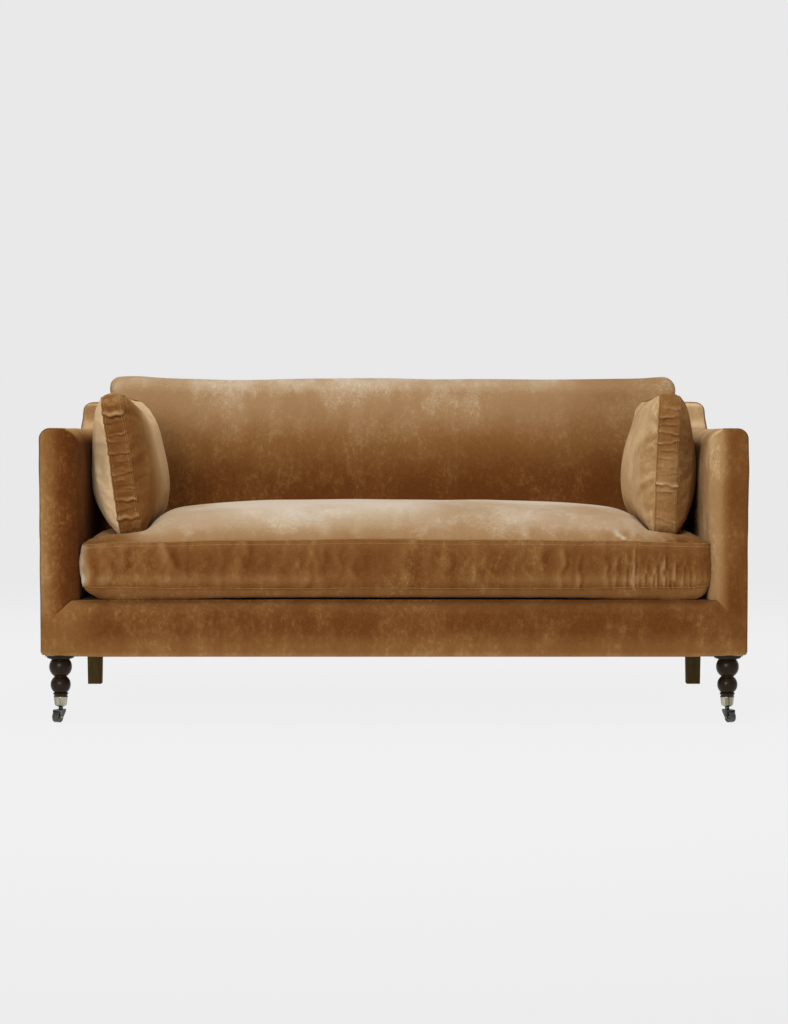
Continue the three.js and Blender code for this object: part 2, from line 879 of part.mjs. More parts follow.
// Tight back: a crowned pad that rolls over the top rail, hollow behind for the frame
function insideBack() {
  const foot = lipHeight;
  const ring = (depthAt, topInset, sideInset, footInset) => {
    const half = raisedHalf - sideInset;
    const top = backHeight - topInset;
    const radius = Math.max(backCornerRadius - topInset / 2, sharpRadius);
    return rounded([
      [-half, foot + footInset],
      [half, foot + footInset],
      [half, top, radius],
      [-half, top, radius],
    ]).map((p) => new THREE.Vector3(p.x, depthAt(p.y), p.y));
  };
  const rings = [];
  const crownShares = [[1, 4.5], [0.6, 2.2]];
  crownShares.forEach(([crownShare, insetShare]) => {
    const inset = backFrontRoll * insetShare;
    rings.push(ring((z) => backFaceAt(z) - backCrown * crownShare, inset, inset, inset));
  });
  for (let k = 0; k <= arcSteps; k += 1) {
    const angle = (Math.PI / 2) * (k / arcSteps);
    const shrink = 1 - Math.sin(angle);
    const depth = backFrontRoll * (1 - Math.cos(angle));
    rings.push(ring((z) => backFaceAt(z) + depth, backFrontRoll * shrink, backSideRoll * shrink, 0));
  }
  for (let k = 0; k <= arcSteps; k += 1) {
    const angle = (Math.PI / 2) * (1 - k / arcSteps);
    const shrink = 1 - Math.sin(angle);
    const depth = backRoll * (1 - Math.cos(angle));
    rings.push(ring((z) => rearAt(z) - depth, backRoll * shrink, backRoll * shrink, 0));
  }
  const beyondRear = halfDepth + overrun;
  const hollow = (top) => rounded([
    [postFrontAt(foot - overrun) - clearance, foot - overrun],
    [postFrontAt(top) - clearance, top],
    [beyondRear, top],
    [beyondRear, foot - overrun],
  ]);
  return cut(
    skinned(rings),
    prism('x', hollow(earCore), -halfWidth, halfWidth),
    prism('x', hollow(panelTop - coverRim), -raisedCore, raisedCore),
  );
}

function outsideBackPanel() {
  const outline = shoulderedOutline(
    bodyFloorGap,
    frameOuter,
    earCore - clearance,
    raisedCore - clearance,
    panelTop - coverRim - clearance,
  );
  return leaningBoard(outline, (z) => rearAt(z) - backPanelThickness, rearAt);
}

placePair('arm_pad', armPad(), velvet);
placePair('outside_arm_panel', outsideArmPanel(), velvet);
place('front_border', frontBorder(), velvet);
place('inside_back', insideBack(), velvet);
place('outside_back_panel', outsideBackPanel(), velvet);

// Loose cushions

// A rectangle with round corners and drawn-in sides, with points along each side
function cushionOutline(halfU, halfV, radius, draw, stepsU, stepsV) {
  const points = [];
  const corners = [[1, 1], [-1, 1], [-1, -1], [1, -1]];
  corners.forEach(([signU, signV], i) => {
    const startAngle = (Math.PI / 2) * i;
    for (let k = 0; k <= arcSteps; k += 1) {
      const angle = startAngle + (Math.PI / 2) * (k / arcSteps);
      points.push(new THREE.Vector2(
        signU * (halfU - radius) + radius * Math.cos(angle),
        signV * (halfV - radius) + radius * Math.sin(angle),
      ));
    }
    const alongU = i % 2 === 0;
    const steps = alongU ? stepsU : stepsV;
    const reach = (alongU ? halfU : halfV) - radius;
    const [nextU] = corners[(i + 1) % corners.length];
    for (let k = 1; k < steps; k += 1) {
      const t = k / steps;
      const pull = draw * Math.sin(Math.PI * t);
      const along = 2 * reach * t;
      points.push(alongU
        ? new THREE.Vector2(signU * (reach - along), signV * (halfV - pull))
        : new THREE.Vector2(nextU * (halfU - pull), signV * (reach - along)));
    }
  });
  return points;
}

// A boxed cushion about its own middle, its faces along w: rings run from one pole to the other.
// Each level is [share of the outline, height above the middle]
function cushionForm(outline, levels) {
  return levels.map(([share, height]) => {
    if (share === 0) return [new THREE.Vector3(0, 0, height)];
    return outline.map((p) => new THREE.Vector3(p.x * share, p.y * share, height));
  });
}

// How far the crown has risen at a share of the way out to the seam
const crownPower = 5.5;
const crownAt = (share) => 1 - share ** crownPower;
const crownShares = [0.98, 0.93, 0.85, 0.73, 0.52, 0.26, 0];

// The underside curves up from its flat to the lower seam: [share of the way out, share of the rise]
const undersideShares = [[0.5, 0.22], [0.8, 0.58]];

const crownHalf = sideCushionBorder / 2 + sideCushionCrown;
const leftCushionFromCentre = armFace - crownHalf - leftCushionGap;
const rightCushionFromCentre = armFace - crownHalf - rightCushionGap;
const seatFront = -halfDepth + cushionGap / 2;
const seatRear = backFaceAt(lipHeight) - backCrown - cushionGap;

function seatCushionGeometry() {
  const halfU = armFace - cushionGap;
  const halfV = (seatRear - seatFront) / 2;
  const middle = (seatRear + seatFront) / 2;
  const outline = cushionOutline(halfU, halfV, seatCornerRadius, seatSideDraw, 12, 6);
  const foot = lipHeight + clearance;
  const seam = 1 - seatSeamDraw / halfV;
  const flat = 1 - seatUndersideInset / halfV;
  const underside = seatBorderBottom - foot;
  const levels = [
    [0, foot],
    [flat, foot],
    ...undersideShares.map(([outShare, riseShare]) => {
      return [flat + (seam - flat) * outShare, foot + underside * riseShare];
    }),
    [seam, seatBorderBottom],
    [1, (seatBorderBottom * 2 + seatBorderTop) / 3],
    [1, (seatBorderBottom + seatBorderTop * 2) / 3],
    [seam, seatBorderTop],
    ...crownShares.map((share) => {
      return [share * seam, seatBorderTop + (seatCrownTop - seatBorderTop) * crownAt(share)];
    }),
  ];
  const geometry = skinned(cushionForm(outline, levels)).translate(0, middle, 0);
  const points = geometry.getAttribute('position');
  const dentMiddle = -halfDepth + sideCushionFromFront + sideCushionLength / 2;
  for (let i = 0; i < points.count; i += 1) {
    if (points.getZ(i) <= seatBorderTop) continue;
    const fromSide = Math.abs(points.getX(i)) - (leftCushionFromCentre + rightCushionFromCentre) / 2;
    const fromMiddle = points.getY(i) - dentMiddle;
    const reach = Math.hypot(fromSide / seatDentWidth, fromMiddle / seatDentLength);
    const dent = seatDentDepth * THREE.MathUtils.smoothstep(dentReachShare - reach, 0, 1);
    points.setZ(i, Math.max(points.getZ(i) - dent, seatBorderTop + seatSeamDraw));
  }
  return geometry;
}

// A side cushion stands on the seat on its border, leaning a little to the arm
function sideCushionGeometry(seat, side, fromCentre, lean) {
  const halfU = sideCushionLength / 2;
  const halfV = sideCushionHeight / 2;
  const halfW = sideCushionBorder / 2;
  const outline = cushionOutline(halfU, halfV, sideCushionCorner, sideCushionDraw, 6, 5);
  const seam = 1 - seatSeamDraw / halfV;
  const face = crownShares.map((share) => [share * seam, halfW + sideCushionCrown * crownAt(share)]);
  const levels = [
    ...face.map(([share, height]) => [share, -height]).reverse(),
    [seam, -halfW],
    [1, 0],
    [seam, halfW],
    ...face,
  ];
  const standing = new THREE.Matrix4().set(0, 0, 1, 0, 1, 0, 0, 0, 0, 1, 0, 0, 0, 0, 0, 1);
  const leaning = new THREE.Matrix4().makeRotationY(THREE.MathUtils.degToRad(side * lean));
  const geometry = skinned(cushionForm(outline, levels)).applyMatrix4(standing).applyMatrix4(leaning);
  const middle = -halfDepth + sideCushionFromFront + halfU;
  const height = seatCrownTop + halfV - sideCushionSink;
  geometry.translate(side * fromCentre, middle, height);
  return cut(geometry, seat.clone().translate(0, 0, clearance));
}

const seat = seatCushionGeometry();
place('seat_cushion', seat, cushionVelvet);
place('side_cushion_left', sideCushionGeometry(seat, -1, leftCushionFromCentre, leftCushionLean),
  cushionVelvet);
place('side_cushion_right', sideCushionGeometry(seat, 1, rightCushionFromCentre, rightCushionLean),
  cushionVelvet);

// Front legs and castors

// Turned leg: collar, two balls, a ring and the tapered spigot in the castor cup, bored for its bolt
function turnedLeg() {
  const top = bodyFloorGap;
  const collarFoot = top - collarHeight;
  const bore = legBoltRadius + clearance;
  const ballSteps = 7;
  const legLength = bodyFloorGap - cupTop;
  const upperBallHeight = cupTop + legLength * upperBallHeightShare;
  const lowerBallHeight = cupTop + legLength * lowerBallHeightShare;
  const middleNeck = middleNeckRadius + sharpRadius;
  const legRingHeight = cupTop + legRingLift;
  const spigotFoot = cupBottom + cupWall + clearance;
  return turned([
    [0, top - legBoltInLeg],
    [bore, top - legBoltInLeg],
    [bore, top],
    [collarRadius - sharpRadius, top],
    [collarRadius, top - sharpRadius],
    [collarRadius, collarFoot + sharpRadius],
    [collarRadius - sharpRadius, collarFoot],
    [collarFootRadius, collarFoot - collarHeight / 4],
    ...ballProfile(
      upperBallRadius,
      legLength * upperBallHalfShare,
      upperBallHeight,
      upperNeckRadius,
      middleNeck,
      ballSteps,
    ),
    [middleNeckRadius, (upperBallHeight + lowerBallHeight) / 2],
    ...ballProfile(
      lowerBallRadius,
      legLength * lowerBallHalfShare,
      lowerBallHeight,
      middleNeck,
      lowerNeckRadius,
      ballSteps,
    ),
    [legRingRadius - sharpRadius, legRingHeight + legRingHalf / 2],
    [legRingRadius, legRingHeight],
    [legRingRadius - sharpRadius, legRingHeight - legRingHalf / 2],
    [cupTopRadius, legRingHeight - legRingHalf],
    [cupTopRadius, cupTop + clearance],
    [spigotTopRadius, cupTop + clearance],
    [spigotFootRadius, spigotFoot],
    [0, spigotFoot],
  ]);
}

function legBolt() {
  const foot = bodyFloorGap - legBoltInLeg + clearance;
  const top = frameBottom + legBoltInPost;
  const sides = 12;
  return turned([[0, foot], [legBoltRadius, foot], [legBoltRadius, top], [0, top]], sides);
}

// Cup of the castor: a rolled rim, a tapered wall and a rounded foot with a hole for the stem
function castorCup() {
  const hole = stemRadius + clearance;
  const cupFootHeight = cupBottom + cupFootRise;
  const wallAt = (z) => {
    const rise = (z - cupFootHeight) / (cupTop - cupFootHeight);
    return cupFootRadius + (cupTopRadius - cupFootRadius) * rise;
  };
  const rimFoot = cupTop - cupRimHeight;
  const innerFoot = cupBottom + cupWall;
  const footSpan = cupFootHeight - cupBottom;
  const footReach = cupFootRadius - cupBottomRadius;
  const rim = wallAt(rimFoot) - sharpRadius;
  return turned([
    [hole, cupBottom],
    [cupBottomRadius, cupBottom],
    [cupBottomRadius + footReach * Math.sin(Math.PI / 4), cupBottom + footSpan * cupFootRiseShare],
    [cupFootRadius, cupFootHeight],
    [rim, rimFoot],
    [wallAt(rimFoot), rimFoot + sharpRadius],
    [cupTopRadius, cupTop],
    [spigotTopRadius + clearance, cupTop],
    [spigotFootRadius + clearance, innerFoot],
    [hole, innerFoot],
    [hole, cupBottom],
  ]);
}

// Stem riveted in the cup, with a collar above the horn and a head below it
function castorStem() {
  const hornFoot = hornTop - hornThickness;
  return turned([
    [0, hornFoot - clearance - stemHeadThickness],
    [stemHeadRadius - sharpRadius, hornFoot - clearance - stemHeadThickness],
    [stemHeadRadius, hornFoot - clearance - stemHeadThickness / 2],
    [stemHeadRadius, hornFoot - clearance],
    [stemRadius, hornFoot - clearance],
    [stemRadius, hornTop + clearance],
    [stemCollarRadius, hornTop + clearance],
    [stemCollarRadius, cupBottom - clearance],
    [stemRadius, cupBottom - clearance],
    [stemRadius, cupBottom + cupWall],
    [0, cupBottom + cupWall],
  ], 16);
}

// Horn: a plate on the stem with two cheeks that carry the axle. It trails along -Y.
function castorHorn() {
  const inner = wheelWidth / 2 + cheekGap;
  const outer = inner + cheekThickness;
  const plateFoot = hornTop - hornThickness;
  const plate = rounded([
    [-outer, hornRadius, hornRadius / 2],
    [-outer, -castorTrail - cheekEyeRadius, cheekEyeRadius],
    [outer, -castorTrail - cheekEyeRadius, cheekEyeRadius],
    [outer, hornRadius, hornRadius / 2],
  ]);
  const cheek = rounded([
    [hornRadius / 2, hornTop - sharpRadius],
    [hornRadius / 2, plateFoot - hornThickness, hornThickness],
    [-castorTrail + cheekEyeRadius, wheelRadius - cheekEyeRadius, cheekEyeRadius - sharpRadius],
    [-castorTrail - cheekEyeRadius, wheelRadius - cheekEyeRadius, cheekEyeRadius - sharpRadius],
    [-castorTrail - cheekEyeRadius, hornTop - sharpRadius],
  ]);
  const stemHole = turned([
    [0, 0],
    [stemRadius + clearance, 0],
    [stemRadius + clearance, cupBottom],
    [0, cupBottom],
  ], 16);
  const axleHole = turned([
    [0, -halfWidth],
    [axleRadius + clearance, -halfWidth],
    [axleRadius + clearance, halfWidth],
    [0, halfWidth],
  ], 12).rotateY(Math.PI / 2).translate(0, -castorTrail, wheelRadius);
  const body = joined(
    prism('z', plate, plateFoot, hornTop),
    prism('x', cheek, inner, outer),
    prism('x', cheek, -outer, -inner),
  );
  return cut(body, stemHole, axleHole);
}

function castorAxle() {
  const reach = wheelWidth / 2 + cheekGap + cheekThickness + clearance;
  const end = reach + axleHeadThickness;
  return turned([
    [0, -end],
    [axleHeadRadius - sharpRadius, -end],
    [axleHeadRadius, -reach],
    [axleRadius, -reach],
    [axleRadius, reach],
    [axleHeadRadius, reach],
    [axleHeadRadius - sharpRadius, end],
    [0, end],
  ], 12).rotateY(Math.PI / 2).translate(0, -castorTrail, wheelRadius);
}

// Wheel: a crowned tread, recessed faces and a hub round the axle
function castorWheel() {
  const half = wheelWidth / 2;
  const bore = axleRadius + clearance;
  const rim = wheelRadius - wheelEdge * 2;
  const profile = [
    [bore, half],
    [wheelHubRadius, half],
    [wheelHubRadius + wheelRecess / 2, half - wheelRecess],
    [rim, half - wheelRecess],
    [rim + wheelRecess / 2, half],
    [wheelRadius - wheelEdge / 4, half - wheelEdge],
    [wheelRadius, half / 2],
  ];
  const otherHalf = profile.map(([radius, height]) => [radius, -height]).reverse();
  return turned([...profile, ...otherHalf, profile[0]], 20)
    .rotateY(Math.PI / 2).translate(0, -castorTrail, wheelRadius);
}

const leg = turnedLeg();
const bolt = legBolt();
const cup = castorCup();
const stem = castorStem();
const horn = castorHorn();
const axle = castorAxle();
const wheel = castorWheel();

[['right', 1], ['left', -1]].forEach(([side, sign]) => {
  const foot = new THREE.Group();
  foot.position.set(sign * legX, legY, 0);
  sofa.add(foot);
  place(`front_leg_${side}`, leg, darkWood, foot);
  place(`leg_bolt_${side}`, bolt, steelWire, foot);
  place(`castor_cup_${side}`, cup, satinNickel, foot);
  place(`castor_stem_${side}`, stem, agedIron, foot);
  const swivel = new THREE.Group();
  swivel.rotation.z = sign * THREE.MathUtils.degToRad(castorTurn);
  foot.add(swivel);
  place(`castor_horn_${side}`, horn, agedIron, swivel);
  place(`castor_axle_${side}`, axle, satinNickel, swivel);
  place(`castor_wheel_${side}`, wheel, agedIron, swivel);
});

export default sofa;
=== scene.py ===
"""The looks of a velvet sofa: covers, seams, cushions, turned legs, castors, floor and light."""
import itertools
import json
import math

import bmesh
import bpy
import numpy as np
from mathutils import Matrix, Vector
from mathutils.bvhtree import BVHTree


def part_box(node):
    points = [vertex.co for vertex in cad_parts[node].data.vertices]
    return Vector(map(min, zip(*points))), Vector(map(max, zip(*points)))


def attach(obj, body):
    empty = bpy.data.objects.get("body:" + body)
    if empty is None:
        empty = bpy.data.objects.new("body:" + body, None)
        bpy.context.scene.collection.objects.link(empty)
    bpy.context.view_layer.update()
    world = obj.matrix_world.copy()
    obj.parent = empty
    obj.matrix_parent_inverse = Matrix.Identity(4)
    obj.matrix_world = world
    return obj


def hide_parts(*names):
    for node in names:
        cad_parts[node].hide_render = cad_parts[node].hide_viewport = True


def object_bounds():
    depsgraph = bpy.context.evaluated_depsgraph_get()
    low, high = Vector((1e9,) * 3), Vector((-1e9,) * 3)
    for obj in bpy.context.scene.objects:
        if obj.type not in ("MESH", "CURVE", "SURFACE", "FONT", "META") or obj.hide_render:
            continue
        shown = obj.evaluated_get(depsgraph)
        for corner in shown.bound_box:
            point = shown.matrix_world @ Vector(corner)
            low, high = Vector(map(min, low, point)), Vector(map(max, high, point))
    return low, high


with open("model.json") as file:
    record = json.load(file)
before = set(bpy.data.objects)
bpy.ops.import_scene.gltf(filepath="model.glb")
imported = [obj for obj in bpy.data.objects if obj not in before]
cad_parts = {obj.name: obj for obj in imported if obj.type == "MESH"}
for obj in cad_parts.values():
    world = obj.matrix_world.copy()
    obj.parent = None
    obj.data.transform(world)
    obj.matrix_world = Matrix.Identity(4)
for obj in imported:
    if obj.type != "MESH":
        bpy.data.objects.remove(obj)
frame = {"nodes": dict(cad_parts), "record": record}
cad_low, cad_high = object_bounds()

MM = 0.001
ROOT = "sofa_frame"
WORDS = {-1: "left", 1: "right"}

# Places taken from the frame
half_width = cad_high.x + 1.5 * MM
front = cad_low.y
back_top = cad_high.z
arm_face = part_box("arm_pad_right")[0].x
ear_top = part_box("arm_pad_right")[1].z
lip_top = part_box("front_border")[1].z
body_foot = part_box("front_border")[0].z
lip_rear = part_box("front_border")[1].y
back_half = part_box("inside_back")[1].x
leg_low, leg_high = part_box("front_leg_right")
leg_x = (leg_low.x + leg_high.x) / 2
leg_y = (leg_low.y + leg_high.y) / 2

# Forms of the covers
ARM_CREST_FRONT = 722 * MM
ARM_CREST_REAR = 710 * MM
EAR_FRONT = front + 777 * MM
EAR_ROUND = 15 * MM
SWEEP = 35 * MM
EAR_SLOPE = 9 * MM
INNER_ROLL = 42 * MM
OUTER_ROLL = 26 * MM
FRONT_ROLL = 34 * MM
FRONT_ROLL_WIDTH = 64 * MM
SEAM_ROLL = 6 * MM
LIP_ROLL = 14 * MM
FOOT_ROLL = 8 * MM
FOOT_CORNER = 7 * MM
FOOT_RISE = 4 * MM
MITRE_INNER = arm_face + 18 * MM
MITRE_DROP = 72 * MM
REAR_LEAN = 37.5 / 674
BACK_LEAN = 77 / 548
BACK_FRONT_AT_TOP = front + 750 * MM


# Small mesh tools

def link(name, data):
    """A named object that holds a mesh, a light or a camera, in the scene."""
    piece = bpy.data.objects.new(name, data)
    bpy.context.scene.collection.objects.link(piece)
    return piece


def smoothed(mesh):
    """Shades every face of a mesh smoothly."""
    mesh.polygons.foreach_set("use_smooth", [True] * len(mesh.polygons))


def mesh_piece(name, points, faces, sharp=None, merge=True):
    """A smooth mesh object, its faces turned outwards, with edges over an angle left sharp."""
    mesh = bpy.data.meshes.new(name)
    mesh.from_pydata([tuple(p) for p in points], [], [tuple(f) for f in faces])
    work = bmesh.new()
    work.from_mesh(mesh)
    if merge:
        bmesh.ops.remove_doubles(work, verts=work.verts, dist=1e-6)
    bmesh.ops.recalc_face_normals(work, faces=work.faces)
    work.to_mesh(mesh)
    work.free()
    smoothed(mesh)
    if sharp is not None:
        mesh.set_sharp_from_angle(angle=math.radians(sharp))
    return link(name, mesh)


def coordinates(mesh, kind="co"):
    """The places of a mesh's vertices as an array, or their normals."""
    values = np.empty(len(mesh.vertices) * 3)
    mesh.vertices.foreach_get(kind, values)
    return values.reshape(-1, 3)


def put(mesh, points):
    """Moves a mesh's vertices to new places."""
    mesh.vertices.foreach_set("co", np.asarray(points).ravel())
    mesh.update()


def baked(piece):
    """Applies a piece's modifiers."""
    graph = bpy.context.evaluated_depsgraph_get()
    mesh = bpy.data.meshes.new_from_object(piece.evaluated_get(graph))
    piece.modifiers.clear()
    piece.data = mesh
    return piece


def subdivided(piece):
    """Subdivides a piece smoothly. Its old vertices keep their numbers."""
    step = piece.modifiers.new("smooth", "SUBSURF")
    step.levels = step.render_levels = 1
    step.use_limit_surface = False
    return baked(piece)


def soft_noise(points, size, seed):
    """Smooth noise from -1 to 1 in lumps of a size, the same on every run."""
    count = 32
    lattice = np.random.default_rng(seed).uniform(-1, 1, (count, count, count))
    place = points / np.asarray(size)
    cell = np.floor(place).astype(int)
    part = place - cell
    part = part * part * (3 - 2 * part)
    total = np.zeros(len(points))
    for corner in itertools.product((0, 1), repeat=3):
        weight = np.prod(np.where(corner, part, 1 - part), axis=1)
        at = (cell + corner) % count
        total += weight * lattice[at[:, 0], at[:, 1], at[:, 2]]
    return total


def rows_to_faces(rows, closed_across=False, closed_along=False):
    """Quads between rows of vertex numbers."""
    faces = []
    for low, high in zip(rows, rows[1:] + (rows[:1] if closed_along else [])):
        count = len(low)
        for i in range(count if closed_across else count - 1):
            k = (i + 1) % count
            faces.append((low[i], low[k], high[k], high[i]))
    return faces


class Rings:
    """Closed rings of points, each joined to the next by faces."""

    def __init__(self):
        self.points, self.rows = [], []

    def add(self, ring):
        start = len(self.points)
        self.points.extend(ring)
        self.rows.append(list(range(start, len(self.points))))

    def faces(self, bored=False):
        """The faces between the rings, and a cap at each end where they aren't joined end to end."""
        caps = [] if bored else [self.rows[0][::-1], self.rows[-1]]
        return rows_to_faces(self.rows, closed_across=True, closed_along=bored) + caps

    def piece(self, name, turn=(1, 1, 1), sharp=60):
        """The rings as a mesh object, mirrored where an axis of turn is -1."""
        return mesh_piece(name, np.array(self.points) * turn, self.faces(), sharp)


def quarter(steps):
    """Angles from 0 to a quarter turn."""
    return [math.pi / 2 * k / steps for k in range(steps + 1)]


def between(start, end, steps):
    """Points that divide the way from one place to another, without its ends."""
    return [start + (end - start) * k / steps for k in range(1, steps)]


def bell(values, middle, width):
    """1 at the middle, falling away smoothly on both sides."""
    return np.exp(-((values - middle) / width) ** 2)


# Shader and geometry trees

class Socket:
    """An output socket of a node tree that can be used in Python sums."""

    def __init__(self, graph, socket):
        self.graph, self.socket = graph, socket

    def math(self, operation, *values, **settings):
        settings["operation"] = operation
        return self.graph.node("ShaderNodeMath", settings, dict(enumerate(values)))

    def clamped(self):
        return self.math("ADD", self, 0, use_clamp=True)

    def eased(self, low, high):
        """0 below low, 1 above high and a smooth step between."""
        return self.graph.node("ShaderNodeMapRange", {"interpolation_type": "SMOOTHSTEP"}, {
            "Value": self, "From Min": low, "From Max": high,
        })


def operator(operation, swapped):
    """A Python operator that adds a Math node."""
    return lambda one, two: one.math(operation, *((two, one) if swapped else (one, two)))


for sign, operation in (
    ("add", "ADD"), ("sub", "SUBTRACT"), ("mul", "MULTIPLY"), ("truediv", "DIVIDE"),
):
    setattr(Socket, f"__{sign}__", operator(operation, False))
    setattr(Socket, f"__r{sign}__", operator(operation, True))


class Graph:
    """Adds nodes to a shader or geometry tree."""

    def __init__(self, tree):
        self.tree = tree

    def node(self, kind, settings=None, inputs=None, output=0):
        """Adds a node, sets it up, fills its sockets and returns one of its outputs."""
        made = self.tree.nodes.new(kind)
        for name, value in (settings or {}).items():
            if name == "stops":
                self.set_stops(made.color_ramp, value)
            else:
                setattr(made, name, value)
        for name, value in (inputs or {}).items():
            if isinstance(value, Socket):
                self.tree.links.new(value.socket, made.inputs[name])
            else:
                made.inputs[name].default_value = value
        return Socket(self, made.outputs[output]) if made.outputs else None

    @staticmethod
    def set_stops(ramp, stops):
        while len(ramp.elements) < len(stops):
            ramp.elements.new(1)
        for element, (place, colour) in zip(ramp.elements, stops):
            element.position = place
            element.color = (*colour, 1)

    def mixed(self, factor, low, high):
        """A colour between two others, both given in screen values."""
        inputs = {0: factor, 6: (*from_srgb(*low), 1), 7: (*from_srgb(*high), 1)}
        return self.node("ShaderNodeMix", {"data_type": "RGBA", "blend_type": "MIX"}, inputs, 2)

    def ramp(self, factor, stops):
        """A colour from a row of (share, screen values) stops."""
        stops = [(share, from_srgb(*colour)) for share, colour in stops]
        return self.node("ShaderNodeValToRGB", {"stops": stops}, {0: factor})

    def noise(self, place, scale, detail=2, stretch=(1, 1, 1), roughness=0.5):
        """Noise from 0 to 1 on a place, stretched by shares along the axes."""
        if stretch != (1, 1, 1):
            place = self.node("ShaderNodeMapping", None, {"Vector": place, "Scale": stretch})
        inputs = {"Vector": place, "Scale": scale, "Detail": detail, "Roughness": roughness}
        return self.node("ShaderNodeTexNoise", None, inputs)


def from_srgb(*values):
    """Shader values of a colour given in the 0 to 255 values of a screen."""
    shares = [value / 255 for value in values]
    return tuple(s / 12.92 if s <= 0.04045 else ((s + 0.055) / 1.055) ** 2.4 for s in shares)


def new_material(name):
    """An empty material with its graph, its output node and object coordinates."""
    material = bpy.data.materials.new(name)
    material.use_nodes = True
    material.node_tree.nodes.clear()
    graph = Graph(material.node_tree)
    place = graph.node("ShaderNodeTexCoord", None, None, "Object")
    return material, graph, place


def ended(material, graph, shader):
    """Ends a material's graph in a shader."""
    graph.node("ShaderNodeOutputMaterial", None, {"Surface": shader})
    return material


def surface(material, graph, colour, roughness, normal, **others):
    """Ends a material's graph in one Principled shader."""
    inputs = {"Base Color": colour, "Roughness": roughness, "Normal": normal}
    inputs.update((name.replace("_", " "), value) for name, value in others.items())
    return ended(material, graph, graph.node("ShaderNodeBsdfPrincipled", None, inputs))


def bump(graph, height, distance, strength=1.0, below=None):
    """A normal from a height, laid over another normal where one is given."""
    inputs = {"Height": height, "Distance": distance, "Strength": strength}
    if below is not None:
        inputs["Normal"] = below
    return graph.node("ShaderNodeBump", None, inputs)


# Materials

# Velvet colour ramps from painted shade at 0, through the velvet's own brown, to painted light and
# sheen at 1; the warm one has a warmer, paler end for parts that the lamps light less
SHADED_PILE_TONES = (0.0, (62, 28, 12)), (0.25, (100, 58, 25)), (0.5, (130, 90, 50))
PILE_SHADE_TO_LIGHT = *SHADED_PILE_TONES, (0.75, (160, 127, 90)), (0.88, (184, 161, 132)), (1.0, (206, 192, 174))
WARM_SHADE_TO_LIGHT = *SHADED_PILE_TONES, (0.75, (160, 125, 84)), (1.0, (214, 183, 141))
SHEEN_TINT = (1.0, 0.62, 0.34, 1)


def velvet(name, marks, clouds, tones=PILE_SHADE_TO_LIGHT):
    """Cotton velvet: smooth dark pile with brushed, grainy light patches and upright crush lines.

    Its painted light and shade come from each vertex's nap, from 0 for painted shade to 1 for painted
    light and sheen.
    """
    material, graph, place = new_material(name)
    nap = graph.node("ShaderNodeAttribute", {"attribute_name": "nap"}, None, "Fac")
    cloud = graph.noise(place, 5, 2)
    brush = graph.noise(place, 17, 3, (1, 1, 0.55), 0.6)
    line = graph.noise(place, 62, 2, (1, 1, 0.07))
    cross = graph.noise(place, 55, 2, (0.08, 1, 1))
    grain = graph.noise(place, 280, 3, (1, 1, 0.8), 0.75)
    fleck = graph.noise(place, 85, 4, (1, 1, 0.7), 0.7)
    fibre = graph.noise(place, 1500, 1)
    patch = (cloud * 0.5 + brush * 0.5).eased(0.44, 0.62)
    # Where the painted shading is dark, the random grain, crush lines and flecks count for more
    dark = (nap * -1 + 1.08).clamped()
    tufts = (grain - 0.5) * (dark * 0.14 + 0.14 + patch * 0.08)
    lines = (line.eased(0.55, 0.75) + cross.eased(0.6, 0.8) * 0.5) * patch * (dark * 0.6 + 0.3)
    # The colour's factor: painted light and shade, plus the pile's random clouds, brush marks, grain,
    # crush lines and flecks
    turned = nap + (cloud - 0.5) * clouds + (brush - 0.5) * (marks * 0.5)
    turned = turned + (patch - 0.4) * (marks * 0.42) + tufts + lines * (marks * 0.4)
    turned = turned + (fleck.eased(0.46, 0.66) - 0.35) * (patch * 0.13 + 0.06) * dark
    crushed = bump(graph, brush + line * 0.25, 5 * MM, 0.34)
    grained = bump(graph, grain, 1.2 * MM, 0.35, crushed)
    pile = bump(graph, fibre, 0.3 * MM, 0.3, grained)
    return surface(
        material, graph, graph.ramp(turned.clamped(), tones), 0.9, pile,
        Specular_IOR_Level=0.0, Sheen_Weight=0.06, Sheen_Roughness=0.4, Sheen_Tint=SHEEN_TINT,
    )


def thread():
    """Sewing thread, a little paler than the velvet."""
    material, graph, place = new_material("thread")
    ply = graph.noise(place, 900, 1)
    colour = graph.mixed(ply, (128, 88, 50), (180, 142, 98))
    return surface(material, graph, colour, 0.7, bump(graph, ply, 0.2 * MM, 0.5), Sheen_Weight=0.4)


def dark_wood(name, tones, gloss, base_roughness):
    """Dark stained wood with upright grain and fine pores."""
    material, graph, place = new_material(name)
    grain = graph.noise(place, 90, 5, (1, 1, 0.08), 0.62)
    pores = graph.noise(place, 420, 2, (1, 1, 0.05), 0.5)
    cloud = graph.noise(place, 26, 2)
    colour = graph.ramp((grain * 0.9 + cloud * 0.35 - 0.25).clamped(), zip((0, 0.5, 1), tones))
    rough = base_roughness + grain * 0.14
    normal = bump(graph, grain * 0.5 + pores, 0.4 * MM, 0.35)
    return surface(material, graph, colour, rough, normal, Specular_IOR_Level=gloss)


def brushed_metal(name, dark, light, roughness, streaks=(1, 1, 0.03)):
    """Satin metal with fine streaks along its length and a few darker specks."""
    material, graph, place = new_material(name)
    lines = graph.noise(place, 260, 2, streaks)
    broad = graph.noise(place, 70, 1, streaks)
    specks = graph.noise(place, 420, 3)
    tone = (lines.eased(0.35, 0.65) * 0.3 + broad.eased(0.38, 0.62) * 0.6 + specks * 0.1).clamped()
    colour = graph.mixed(tone, dark, light)
    normal = bump(graph, lines, 0.02 * MM, 0.3)
    return surface(material, graph, colour, roughness + specks * 0.06, normal, Metallic=1.0)


